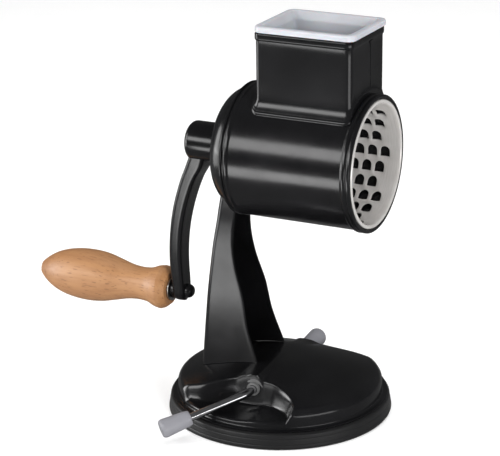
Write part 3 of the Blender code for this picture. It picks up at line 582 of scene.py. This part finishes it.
def make_lever():
    """Chrome rod: straight axle with a joggled eccentric, a round bend and the arm."""
    out = (LEVER_END - LEVER_BEND).normalized()
    route = [Vector((0, y, AXLE_Z - drop * THROW)) for y, drop in (
        (0.0552, 0), (0.0300, 0), (0.0090, 0), (0.0078, 0.06), (0.0060, 0.5), (0.0044, 0.94),
        (0.0034, 1), (-0.0034, 1), (-0.0044, 0.94), (-0.0060, 0.5), (-0.0078, 0.06),
        (-0.0090, 0), (-0.0300, 0))]
    bend, bend_steps = 0.0058, 14
    start, end = LEVER_BEND + Vector((0, bend, 0)), LEVER_BEND + out * bend
    for step in range(bend_steps + 1):
        t = step / bend_steps
        route.append(start * (1 - t) ** 2 + LEVER_BEND * (2 * t * (1 - t)) + end * t * t)
    route.append(LEVER_END)
    curve = bpy.data.curves.new("lever_rod", "CURVE")
    curve.dimensions = "3D"
    curve.bevel_depth = ROD_RADIUS
    curve.bevel_resolution = 8
    curve.use_fill_caps = True
    spline = curve.splines.new("POLY")
    spline.points.add(len(route) - 1)
    for point, place in zip(spline.points, route):
        point.co = (*place, 1)
    guide = new_object("lever_route", curve)
    bpy.context.view_layer.update()
    mesh = bpy.data.meshes.new_from_object(
        guide.evaluated_get(bpy.context.evaluated_depsgraph_get()))
    bpy.data.objects.remove(guide, do_unlink=True)
    facing_out(mesh, merge=0.00001)
    finished(new_object("lever_rod", mesh), "lever", "chrome", "clamp_lever")

    def cap(name, place, length, thin, node):
        thick, bore, floor = 0.0060, ROD_RADIUS + GAP, length - 0.0027
        made = turned(name, [
            (0, length), (thick - 0.0010, length, 0.0008), (thick, length - 0.0018, 0.0010),
            (thin + 0.0004, 0.0030, 0.0010), (thin, 0.0006, 0.0005), (thin - 0.0005, 0),
            (bore, 0, 0), (bore, floor, 0), (0, floor),
        ], place, MEDIUM)
        finished(made, "lever", "grey_cap_plastic", node)

    turn = out.to_track_quat("Z", "Y").to_matrix().to_4x4()
    cap("lever_handle_cap", Matrix.Translation(LEVER_END - out * 0.0165) @ turn,
        0.0195, 0.0046, "lever_grip")
    cap("axle_rear_cap", Matrix.Translation((0, 0.0393, 0)) @ AXLE_FRAME,
        0.0190, 0.0045, "axle_end_cap")


# ---------------------------------------------------------------- column
def column_ring(height, half_width, web_x, edge_x):
    """U section as one closed ring: outer face, round free edge, inner face, round free edge."""
    corner, half_sheet = 0.0030, SHEET / 2
    side = half_width - half_sheet
    web = web_x + half_sheet

    def half(offset):
        points = [(edge_x + (web + corner - edge_x) * s / 10, -side - offset) for s in range(10)]
        for turn in np.linspace(270, 180, 10):
            angle = math.radians(turn)
            reach = corner + offset
            points.append((web + corner + reach * math.cos(angle),
                           -side + corner + reach * math.sin(angle)))
        return points + [(web - offset, -(side - corner) * (1 - s / 5)) for s in range(1, 5)]

    def face(offset):
        points = half(offset) + [(web - offset, 0.0)]
        return points + [(x, -y) for x, y in reversed(half(offset))]

    def edge(sign):
        return [(edge_x + half_sheet * math.sin(math.radians(turn)),
                 sign * (side + half_sheet * math.cos(math.radians(turn))))
                for turn in (45, 90, 135)]

    ring = face(half_sheet) + edge(1) + list(reversed(face(-half_sheet))) + list(reversed(edge(-1)))
    return [(x, y, height) for x, y in ring]


def dome_form(name, offset, bottom):
    """Solid of the casing's dome, grown by an offset, without its pockets."""
    profile = [(radius, float(crown_height(radius)) + offset, 0)
               for radius in (0.0, 0.008, 0.014, 0.018, 0.022, 0.026, 0.030, 0.036, 0.044, 0.052)]
    return turned(name, profile + [(0.0595 + offset, 0.0210 + offset, 0.002), (0.0640, 0.016),
                                   (0.0640, bottom, 0), (0, bottom)], sides=FINE)


def make_column():
    """Pressed U column with its foot on the dome and its tab on the rear cover."""
    heights = np.linspace(COLUMN[0][0], TAB_TOP_Z, 80)
    stations = eased(COLUMN, heights)
    column = loft("column_channel", [column_ring(h, *row) for h, row in zip(heights, stations)])
    shape = bmesh.new()
    shape.from_mesh(column.data)
    bmesh.ops.holes_fill(shape, edges=[edge for edge in shape.edges if edge.is_boundary])
    bmesh.ops.triangulate(shape, faces=[face for face in shape.faces if len(face.verts) > 4])
    bmesh.ops.recalc_face_normals(shape, faces=shape.faces)
    shape.to_mesh(column.data)
    shape.free()
    ring = box_ring((-0.0452, -0.0120), (-0.0200, 0.0120), 0.004)
    foot = loft("column_foot", [at_height(ring, 0.020), at_height(ring, 0.040)], caps=(True, True))
    boolean(foot, "INTERSECT", dome_form("foot_top", GAP + 0.0014, 0.005))
    boolean(column, "UNION", foot)
    boolean(column, "DIFFERENCE", dome_form("dome_clearance", GAP, 0.005))
    keep_out = HOUSING_RADIUS + 0.0014
    boolean(column, "DIFFERENCE", turned("housing_clearance", [
        (0, 0.010), (keep_out, 0.010, 0), (keep_out, COVER_X + 0.0122, 0),
        (0.0401, COVER_X + 0.0110, 0),
        *arc((COVER_SIDE - COVER_EDGE, COVER_X + COVER_EDGE), COVER_EDGE + 0.0004, -18, -90, 12),
        (0, COVER_X - 0.0004),
    ], DRUM_FRAME))
    finished(column, "stand", "black_enamel", "column")


def make_column_rivets():
    """Domed rivets on the column's foot, square to the crown."""
    x, top, under = -0.0330, GAP * 2 + 0.0014, -SHEET - 0.0006
    tilt = math.atan(0.30)
    for number, y in ((1, -0.0070), (2, 0.0070)):
        radius = math.hypot(x, y)
        lean = math.sin(tilt) / radius
        normal = Vector((x * lean, y * lean, math.cos(tilt)))
        place = (Matrix.Translation((x, y, float(crown_height(radius))))
                 @ normal.to_track_quat("Z", "Y").to_matrix().to_4x4())
        made = turned(f"foot_rivet_{number}", [
            (0, top + 0.0020), (0.0016, top + 0.0019, 0.0008), (0.0030, top + 0.0010, 0.0008),
            (0.0035, top, 0.0002), (0.0019, top), (0.0019, under), (0.0034, under),
            (0.0022, under - 0.0014), (0, under - 0.0016),
        ], place, MEDIUM)
        finished(made, "stand", "black_enamel", f"column_rivet_{number}")


def slot_cutter(half_length, half_width, low, high, place):
    """Bar that cuts a screwdriver's slot between two heights."""
    ring = box_ring((-half_length, -half_width), (half_length, half_width), 0.0002)
    return loft("slot", [at_height(ring, low), at_height(ring, high)], caps=(True, True), place=place)


def make_tab_screws():
    """Pan-head screws with a cross of two slots, at the column's tab."""
    seat = -0.0019
    for number, y in ((1, -0.0050), (2, 0.0050)):
        place = Matrix.Translation((COVER_X, y, 0.1465)) @ ALONG_X
        made = turned(f"cover_screw_{number}", [
            (0, 0.0048), (0.0014, 0.0048), (0.0017, 0.0044), (0.0017, seat, 0.0001), (0.0032, seat),
            (0.0030, seat - 0.0015, 0.0008), (0.0018, seat - 0.0022, 0.0006), (0, seat - 0.0023),
        ], place, MEDIUM)
        for turn in (20 + 25 * number, 110 + 25 * number):
            boolean(made, "DIFFERENCE", slot_cutter(
                0.0019, 0.00035, seat - 0.0030, seat - 0.0012,
                place @ Matrix.Rotation(math.radians(turn), 4, "Z")))
        finished(made, "stand", "zinc_plated_steel", f"tab_screw_{number}")


# ---------------------------------------------------------------- housing, cover, hopper, pusher
def make_housing():
    """Drum housing: sheet tube with a double bead at its mouth and a rolled rear edge."""
    inner, bead, rolled = HOUSING_RADIUS - SHEET, 0.0416, 0.0411
    body = turned("housing_tube", [
        (0.0406, HOUSING_FRONT_X), (bead, 0.0641, 0.0005), (bead, 0.0625, 0.0006),
        (0.0408, 0.0617, 0.0005), (bead, 0.0609, 0.0006), (bead, 0.0593, 0.0006),
        (HOUSING_RADIUS, 0.0583, 0.0008), (HOUSING_RADIUS, -0.0146, 0.0008),
        (rolled, -0.0154, 0.0006), (rolled, -0.0168, 0.0006), (0.0404, -0.0177, 0.0005),
        (HOUSING_RADIUS, HOUSING_BACK_X), (inner, HOUSING_BACK_X), (inner, HOUSING_FRONT_X),
    ], DRUM_FRAME, HIGH, closed=True)
    throat = box_ring(HOPPER_LOW, HOPPER_HIGH, HOPPER_CORNER, -SHEET)
    boolean(body, "DIFFERENCE", loft("housing_opening", [at_height(throat, 0.180),
                                                         at_height(throat, 0.230)], caps=(True, True)))
    finished(body, "stand", "black_enamel", "drum_housing")


def make_rear_cover():
    """Pressed dish that closes the housing, with its rolled rim."""
    centre = (COVER_SIDE - COVER_EDGE, COVER_X + COVER_EDGE)
    rim = HOUSING_BACK_X - GAP
    cover = turned("cover_dish", [
        (0.0404, rim), (0.0412, rim - 0.0004, 0.0004), (0.0412, rim - 0.0014, 0.0005),
        (0.0396, rim - 0.0021, 0.0008), *arc(centre, COVER_EDGE, -15, -90, 20),
        (0.0115, COVER_X, 0.0008), (0.0084, COVER_X, 0.0003),
        (0.0084, COVER_X + SHEET), *reversed(arc(centre, COVER_EDGE - SHEET, -14, -90, 14)),
        (COVER_SIDE - SHEET - 0.0004, rim),
    ], DRUM_FRAME, HIGH, closed=True)
    finished(cover, "stand", "black_enamel", "rear_cover")


def on_drum(ring, radius):
    """Heights at which a ring of (x, y) lies on a cylinder about the drum's axis."""
    return DRUM_Z + np.sqrt(np.maximum(radius * radius - ring[:, 1] ** 2, 1e-8))


def make_hopper():
    """Hopper: hemmed top, flat walls with round corners, and a collar that flares onto the drum."""
    def outer(grow):
        ring = box_ring(HOPPER_LOW, HOPPER_HIGH, HOPPER_CORNER, grow, along=20, around=9)
        limit = HOPPER_HIGH[0] + max(0.0, min(grow, 0.0007))
        ring[:, 0] = np.minimum(ring[:, 0], limit)
        return ring

    seat = HOUSING_RADIUS + GAP
    rows = []
    inside = outer(-SHEET)
    for share in (0.0, 0.5, 1.0):
        rows.append(at_height(inside, (1 - share) * (on_drum(inside, seat) - 0.0004)
                              + share * (HOPPER_TOP_Z - 0.0006)))
    for grow, height in ((-0.0010, -0.0001), (-0.0007, 0.0), (0.0002, 0.0), (0.0006, -0.00025),
                         (0.0008, -0.0008), (0.0008, -0.0032), (0.00065, -0.0040), (0.0003, -0.0045),
                         (0.0001, -0.0046), (0.0, -0.0049)):
        rows.append(at_height(outer(grow), HOPPER_TOP_Z + height))
    plain = outer(0.0)
    shoulder = on_drum(plain, seat) + 0.0062
    for share in np.linspace(0.12, 1.0, 8):
        rows.append(at_height(plain, (1 - share) * (HOPPER_TOP_Z - 0.0049) + share * shoulder))
    for grow, lift in ((0.00012, 0.0054), (0.0004, 0.0044), (0.0008, 0.0035), (0.0013, 0.0028),
                       (0.0018, 0.0023), (0.0022, 0.0020), (0.00235, 0.0018), (0.0025, 0.00165),
                       (0.0028, 0.0017), (0.00305, 0.0016), (0.0032, 0.0012), (0.00325, 0.0007),
                       (0.0032, 0.0)):
        ring = outer(grow)
        rows.append(at_height(ring, on_drum(ring, seat) + lift))
    rows.append(at_height(plain, on_drum(plain, seat)))
    made = loft("hopper_body", rows, loop=True)
    x, seam_y, rings = HOPPER_HIGH[0], 0.0045, []
    for height, width, proud in ((0.2068, 0.0006, 0.0003), (0.2300, 0.0006, 0.0004),
                                 (0.2365, 0.0008, 0.0004), (0.2385, 0.0016, 0.0005),
                                 (0.2402, 0.0030, 0.0006)):
        rings.append([(x + out, seam_y + side * width, height) for out, side in (
            (-0.0004, -1.0), (proud * 0.7, -0.8), (proud, 0.0), (proud * 0.7, 0.8), (-0.0004, 1.0))])
    boolean(made, "UNION", loft("hopper_seam", rings, caps=(True, True)))
    finished(made, "stand", "black_enamel", "hopper", angle=40)


def make_pusher():
    """Hollow food pusher: flange on the hopper, chamfered mouth, and a sole curved to the drum."""
    def ring(low, high, corner, grow=0.0):
        return box_ring(low, high, corner, grow, along=16, around=8)

    sole_radius, floor_radius, funnel = 0.0399, 0.0419, 0.0060
    body = ring(PUSHER_LOW, PUSHER_HIGH, 0.0022)
    centre = np.array([(PUSHER_LOW[0] + PUSHER_HIGH[0]) / 2, 0.0])
    rows = []
    for share in (0.06, 0.25, 0.45, 0.65, 0.82, 0.94, 1.0):
        part = centre + (body - centre) * share
        rows.append(at_height(part, on_drum(part, sole_radius)))
    low = on_drum(body, sole_radius)
    under = HOPPER_TOP_Z + GAP
    for share in (0.03, 0.5, 1.0):
        rows.append(at_height(body, low + (under - low) * share))
    for inset, height in ((0.0006, under), (0.0002, under + 0.0002), (0.0, under + 0.0007),
                          (0.0, PUSHER_TOP_Z - 0.0012), (0.00012, PUSHER_TOP_Z - 0.0006),
                          (0.0004, PUSHER_TOP_Z - 0.0002), (0.0009, PUSHER_TOP_Z)):
        rows.append(at_height(ring(PUSHER_FLANGE_LOW, PUSHER_FLANGE_HIGH, 0.0052, -inset), height))
    for grow, height in ((0.0002, PUSHER_TOP_Z), (-0.0002, PUSHER_TOP_Z - 0.0002),
                         (-0.0004, PUSHER_TOP_Z - 0.0006), (-0.0014, PUSHER_TOP_Z - 0.0040),
                         (-0.0017, PUSHER_TOP_Z - 0.0046), (-0.0018, PUSHER_TOP_Z - funnel)):
        rows.append(at_height(ring(PUSHER_LOW, PUSHER_HIGH, 0.0040, grow), height))
    hollow = ring(PUSHER_LOW, PUSHER_HIGH, 0.0040, -0.0018)
    throat_z, floor = PUSHER_TOP_Z - funnel, on_drum(hollow, floor_radius)
    for share in (0.5, 0.97):
        rows.append(at_height(hollow, throat_z + (floor - throat_z) * share))
    for share in (0.99, 0.94, 0.82, 0.65, 0.45, 0.25, 0.06):
        part = centre + (hollow - centre) * share
        rows.append(at_height(part, on_drum(part, floor_radius)))
    made = loft("pusher_body", rows, caps=(True, True))
    finished(made, "pusher", "pusher_plastic", "food_pusher", angle=40)


# ---------------------------------------------------------------- drum, shaft and crank
def make_drum():
    """Grating drum: rolled rim, plain band, and arched holes with raised teeth around it."""
    rows_around, pitch, first_x, in_row = 24, 0.00845, 0.0543, 7
    inner = DRUM_RADIUS - DRUM_WALL
    phase, holes = 0.667, []
    for row in range(rows_around):
        angle = 2 * math.pi * (row + phase) / rows_around
        for column in range(in_row):
            holes.append((first_x - pitch * (column + (-row - 1) % 3 / 3), angle))
    sides = 432
    angles = np.arange(sides) * 2 * math.pi / sides
    xs = np.concatenate([np.linspace(DRUM_BACK_X, 0.0600, 118), [0.0612]])
    grid_x, grid_a = np.meshgrid(xs, angles, indexing="ij")
    raised = np.zeros_like(grid_x)
    for x, angle in holes:
        along = grid_x - x
        around = (np.mod(grid_a - angle + math.pi, 2 * math.pi) - math.pi) * DRUM_RADIUS
        tooth = np.exp(-((along / 0.0030) ** 2) ** 1.5) * np.exp(-((around + 0.0022) / 0.0024) ** 2)
        sunk = np.exp(-((along / 0.0028) ** 2)) * np.exp(-((around - 0.0036) / 0.0013) ** 2)
        raised += 0.0012 * tooth - 0.00035 * sunk

    def ring(radius, x):
        return np.column_stack([np.full(sides, x), -radius * np.sin(angles),
                                DRUM_Z + radius * np.cos(angles)])

    def shell(offset):
        return [ring(inner + offset + raised[i], x) for i, x in enumerate(xs)]

    roll = softened([
        (DRUM_RADIUS, 0.0618), (DRUM_RADIUS, MOUTH_X - 0.0030, 0.0003),
        (RIM_RADIUS, MOUTH_X - 0.0024, 0.0006), (RIM_RADIUS, MOUTH_X - 0.0004, 0.0008),
        (0.0377, MOUTH_X, 0.0006), (0.0366, MOUTH_X - 0.0003, 0.0006),
        (inner, MOUTH_X - 0.0020, 0.001), (inner, 0.0618)])
    rows = shell(DRUM_WALL) + [ring(radius, x) for radius, x in roll] + list(reversed(shell(0.0)))
    drum = loft("drum_sheet", rows, loop=True)
    half, flat_end = 0.0031, 0.0032
    outline = [(-half, flat_end), (half, flat_end)]
    outline += [(half * math.cos(math.radians(turn)), -0.0002 - half * math.sin(math.radians(turn)))
                for turn in range(0, 181, 15)]
    shape = bmesh.new()
    for x, angle in holes:
        spin = Matrix.Rotation(angle, 4, "X")
        low = [shape.verts.new(spin @ Vector((x + u, v, inner - 0.0020))) for u, v in outline]
        high = [shape.verts.new(spin @ Vector((x + u, v, DRUM_RADIUS + 0.0030))) for u, v in outline]
        shape.faces.new(low)
        shape.faces.new(list(reversed(high)))
        for i in range(len(outline)):
            j = (i + 1) % len(outline)
            shape.faces.new((low[i], high[i], high[j], low[j]))
    mesh = bpy.data.meshes.new("drum_holes")
    shape.to_mesh(mesh)
    shape.free()
    facing_out(mesh)
    boolean(drum, "DIFFERENCE", new_object("drum_holes", mesh, Matrix.Translation((0, 0, DRUM_Z))))
    finished(drum, "crank", "stainless_steel", "grater_drum", angle=45)

    plate_x, rim = DRUM_BACK_X + 0.0011, inner - GAP
    plate = turned("end_dish", [
        (rim, plate_x + 0.0060), (rim, plate_x, 0.0010), (0.0130, plate_x, 0.001),
        (0.0043, plate_x), (0.0043, plate_x + SHEET), (0.0200, plate_x + SHEET, 0.0005),
        (rim - SHEET, plate_x + SHEET, 0.0008), (rim - SHEET, plate_x + 0.0060),
    ], DRUM_FRAME, HIGH, closed=True)
    finished(plate, "crank", "stainless_steel", "drum_end_plate")
    return plate_x


def make_shaft(plate_x):
    """Shaft, washers and bush, turned finely."""
    def add(name, profile, slot, body, node, closed=True):
        made = turned(name, profile, DRUM_FRAME, MEDIUM, closed, soft=0.00015)
        finished(made, body, slot, node)

    end, bore = plate_x - GAP, 0.00545
    add("shaft_turned", [
        (0, -0.0020), (0.0034, -0.0020), (0.0040, -0.0026), (0.0040, end, 0), (0.0075, end),
        (0.0075, -0.0235), (0.0050, -0.0235, 0), (0.0050, -0.0550), (0.0044, -0.0556), (0, -0.0556),
    ], "stainless_steel", "crank", "drive_shaft", closed=False)
    add("bush_turned", [
        (0.0081, -0.0240), (0.0081, COVER_X - GAP, 0), (0.0110, COVER_X - GAP),
        (0.0110, COVER_X - 0.0012), (bore, COVER_X - 0.0012), (bore, -0.0240),
    ], "bush_plastic", "stand", "shaft_bush")
    add("thrust_ring", [
        (0.0095, HUB_INNER_X + 0.0011), (0.0095, HUB_INNER_X + GAP), (bore, HUB_INNER_X + GAP),
        (bore, HUB_INNER_X + 0.0011),
    ], "zinc_plated_steel", "crank", "thrust_washer")
    washer = plate_x + SHEET + GAP
    add("end_washer", [
        (0.0090, washer + SHEET), (0.0090, washer), (0.0043, washer), (0.0043, washer + SHEET),
    ], "zinc_plated_steel", "crank", "drum_washer")


def make_crank():
    """Cast crank: curved arm with round edges, hub, and boss for the handle's bolt."""
    def section(height, outer, inner, width):
        corner = min(0.0024, width * 0.46)
        return at_height(box_ring((outer, -width / 2), (inner, width / 2), corner, along=5, around=6),
                         height)

    heights = np.linspace(CRANK_ARM[0][0], HANDLE_Z, 56)
    rings = [section(height, *row) for height, row in zip(heights, eased(CRANK_ARM, heights))]
    foot_z, foot_outer, foot_inner, foot_width = CRANK_ARM[-1]
    for turn in (8, 16, 24, 32, 40, 48, 56, 64, 72, 79, 85):
        angle = math.radians(turn)
        trim = 0.0012 * (1 - math.cos(angle))
        rings.append(section(foot_z - foot_width / 2 * math.sin(angle), foot_outer + trim,
                             foot_inner - trim, foot_width * math.cos(angle)))
    arm = loft("arm_form", rings, caps=(True, True))
    edge = 0.0040
    crank = turned("crank_casting", [
        (0, HUB_INNER_X), (HUB_RADIUS, HUB_INNER_X, 0.0007),
        *arc((HUB_RADIUS - edge, HUB_OUTER_X + edge), edge, 0, -90, 10), (0, HUB_OUTER_X),
    ], DRUM_FRAME)
    boolean(crank, "UNION", arm, turned("handle_boss", [
        (0, -0.0700), (0.0060, -0.0700), (0.0060, -0.0746, 0.0004), (0, -0.0746),
    ], HANDLE_FRAME, MEDIUM))
    screw = Matrix.Translation((-0.0470, 0, DRUM_Z)) @ ALONG_Y
    boolean(crank, "DIFFERENCE", rod("shaft_bore", 0.0053, -0.0560, -0.0300, DRUM_FRAME),
            rod("bolt_bore", 0.0028, -0.0900, -0.0500, HANDLE_FRAME),
            rod("screw_bore", 0.0023, 0.0045, 0.0200, screw))
    finished(crank, "crank", "black_enamel", "crank_arm", angle=38)
    set_screw = turned("set_screw_turned", [
        (0, 0.0118), (0.0020, 0.0118), (0.0020, 0.0056), (0, 0.0056)], screw, MEDIUM)
    boolean(set_screw, "DIFFERENCE", turned("hex_socket", [
        (0, 0.0130), (0.0011, 0.0130, 0), (0.0011, 0.0100, 0), (0, 0.0100),
    ], screw @ Matrix.Rotation(math.radians(30), 4, "Z"), sides=6, soft=0))
    finished(set_screw, "crank", "zinc_plated_steel", "hub_set_screw")


def make_handle():
    """Turned beech grip with a crisp ridge, on a shoulder bolt with a domed nut."""
    xs = np.concatenate([np.linspace(-0.0824, -0.1600, 60), np.linspace(-0.1606, -0.1705, 22)])
    radii = eased(GRIP, xs)[:, 0]
    profile = [(0.0105, -0.0765, 0.0004), (0.0131, -0.0796, 0.0006), (0.0140, -0.0818, 0.0004)]
    profile += [(float(r), float(x), 0) for x, r in zip(xs, radii)]
    shoulder_x, seat = -0.0752, -0.1640
    profile += [(0.0044, -0.1704, 0.0003), (0.0044, seat, 0), (0.0038, seat, 0),
                (0.0038, -0.0765, 0.0003)]
    grip = turned("grip_turned", profile, HANDLE_FRAME, FINE, closed=True)
    finished(grip, "handle", "beech", "handle_grip")
    bolt = turned("bolt_turned", [
        (0, -0.0616), (0.0020, -0.0616), (0.0025, -0.0621), (0.0025, shoulder_x - 0.0008, 0),
        (0.0034, shoulder_x - 0.0008), (0.0034, seat - GAP, 0), (0.0042, seat - GAP),
        (0.0040, seat - 0.0022, 0.0004), (0.0030, seat - 0.0028, 0.0004), (0, seat - 0.0028),
    ], HANDLE_FRAME, MEDIUM, soft=0.00015)
    boolean(bolt, "DIFFERENCE",
            slot_cutter(0.0045, 0.0005, seat - 0.0040, seat - 0.0018, HANDLE_FRAME))
    finished(bolt, "crank", "zinc_plated_steel", "handle_bolt")
    washer = turned("grip_washer", [
        (0.0078, shoulder_x + 0.0003), (0.0078, shoulder_x - 0.0005), (0.0030, shoulder_x - 0.0005),
        (0.0030, shoulder_x + 0.0003),
    ], HANDLE_FRAME, MEDIUM, closed=True, soft=0.00012)
    finished(washer, "crank", "zinc_plated_steel", "handle_washer")
    face = CRANK_ARM[-1][2] + GAP
    nut = turned("domed_nut", [
        (0, face + 0.0042), (0.0024, face + 0.0040, 0.0010), (0.0040, face + 0.0026, 0.0010),
        (0.0046, face, 0.0003), (0.0028, face), (0.0028, -0.0613, 0), (0, -0.0613),
    ], HANDLE_FRAME, MEDIUM)
    finished(nut, "crank", "black_enamel", "handle_nut")


make_casing()
make_pad()
make_lever()
make_column()
make_column_rivets()
make_tab_screws()
make_housing()
make_rear_cover()
make_hopper()
make_pusher()
make_shaft(make_drum())
make_crank()
make_handle()

# CAD nodes whose shape is kept, with their finish.
KEPT = {
    "bush_plastic": ("axle_bush_front", "axle_bush_rear"),
    "zinc_plated_steel": ("guide_plate", "clamp_stem", "stem_foot", "tab_nut_1", "tab_nut_2",
                          "drum_nut", "bush_lock_nut"),
}
for slot, nodes in KEPT.items():
    for node in nodes:
        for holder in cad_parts[node].material_slots:
            holder.material = LOOKS[slot]


# ---------------------------------------------------------------- floor, light and camera
def make_floor():
    """Pale floor, which glossy surfaces see dimmer, as if black flags stood around the set."""
    look = Finish("floor_finish")
    look.roughness(look.noise(40, 2), 0.75, 0.85)
    plain = look.blend(look.mottle(3, 2), (0.90, 0.90, 0.90), (0.88, 0.88, 0.88))
    ray = look.tree.nodes.new("ShaderNodeLightPath").outputs["Is Glossy Ray"]
    look.colour(look.blend(ray, plain, (0.11, 0.11, 0.11)))
    look.link(look.blend(ray, (0.15, 0.15, 0.15), (0, 0, 0)), look.shader.inputs["Emission Color"])
    look.shader.inputs["Emission Strength"].default_value = 1.0
    size = 6.0
    mesh = bpy.data.meshes.new("floor")
    mesh.from_pydata([(-size, -size, 0), (size, -size, 0), (size, size, 0), (-size, size, 0)], [],
                     [(0, 1, 2, 3)])
    floor = new_object("floor", mesh)
    mesh.materials.append(look.material)


def soft_light(name, place, target, width, height, power, reflected=True, spread=180):
    """Rectangular lamp aimed at a point; its spread is in degrees."""
    data = bpy.data.lights.new(name, "AREA")
    data.shape = "RECTANGLE"
    data.size, data.size_y, data.energy = width, height, power
    data.spread = math.radians(spread)
    lamp = bpy.data.objects.new(name, data)
    bpy.context.scene.collection.objects.link(lamp)
    lamp.location = place
    lamp.visible_glossy = reflected
    aim = Vector(target) - Vector(place)
    lamp.rotation_euler = aim.to_track_quat("-Z", "Y").to_euler()


def make_light():
    """Dim world, and soft boxes in front, low down, at the sides and above."""
    world = bpy.data.worlds.new("studio")
    world.use_nodes = True
    tree = world.node_tree
    background = tree.nodes["Background"]
    mix = tree.nodes.new("ShaderNodeMix")
    mix.data_type = "RGBA"
    mix.inputs[6].default_value = (0.42, 0.42, 0.42, 1)
    mix.inputs[7].default_value = (0.08, 0.08, 0.08, 1)
    ray = tree.nodes.new("ShaderNodeLightPath").outputs["Is Glossy Ray"]
    tree.links.new(ray, mix.inputs[0])
    tree.links.new(mix.outputs[2], background.inputs["Color"])
    bpy.context.scene.world = world
    soft_light("key_light", (-0.57, -1.20, 0.66), (0, -0.03, 0.16), 0.9, 0.42, 8)
    soft_light("low_light", (-0.125, -0.27, 0.045), (0.015, 0, 0.165), 0.15, 0.085, 0.032, spread=64)
    soft_light("mouth_light", (1.30, -1.00, 0.60), (0.06, 0, 0.17), 0.6, 0.6, 22, reflected=False)
    soft_light("edge_light", (0.60, -0.30, 0.06), (0.06, -0.03, 0.2), 0.50, 0.20, 1.0)
    soft_light("left_light", (-1.30, -0.50, 0.42), (0, 0, 0.13), 0.55, 0.8, 9)
    soft_light("left_low_light", (-0.45, -0.18, 0.02), (-0.03, 0, 0.13), 0.28, 0.30, 0.9)
    soft_light("top_light", (0.1, 0.3, 1.9), (0, 0, 0.1), 2.0, 1.6, 26, reflected=False)


def make_camera():
    """Camera at the photo's viewing angle, aimed at a point inside the grater."""
    azimuth, elevation, roll = math.radians(26.6), math.radians(18.91), math.radians(-0.59)
    target, distance = Vector((-0.0201, 0.0, 0.1144)), 1.2838
    back = Vector((math.sin(azimuth) * math.cos(elevation),
                   -math.cos(azimuth) * math.cos(elevation), math.sin(elevation)))
    right = Vector((math.cos(azimuth), math.sin(azimuth), 0))
    up = back.cross(right)
    turned_right = right * math.cos(roll) + up * math.sin(roll)
    turned_up = up * math.cos(roll) - right * math.sin(roll)
    data = bpy.data.cameras.new("camera")
    data.lens = 149.7
    data.sensor_width = 36.0
    data.clip_start = 0.05
    camera = bpy.data.objects.new("camera", data)
    bpy.context.scene.collection.objects.link(camera)
    place = Matrix((turned_right, turned_up, back)).transposed().to_4x4()
    place.translation = target + back * distance
    camera.matrix_world = place
    bpy.context.scene.camera = camera


make_floor()
make_light()
make_camera()
bpy.context.scene.view_settings.view_transform = "Standard"
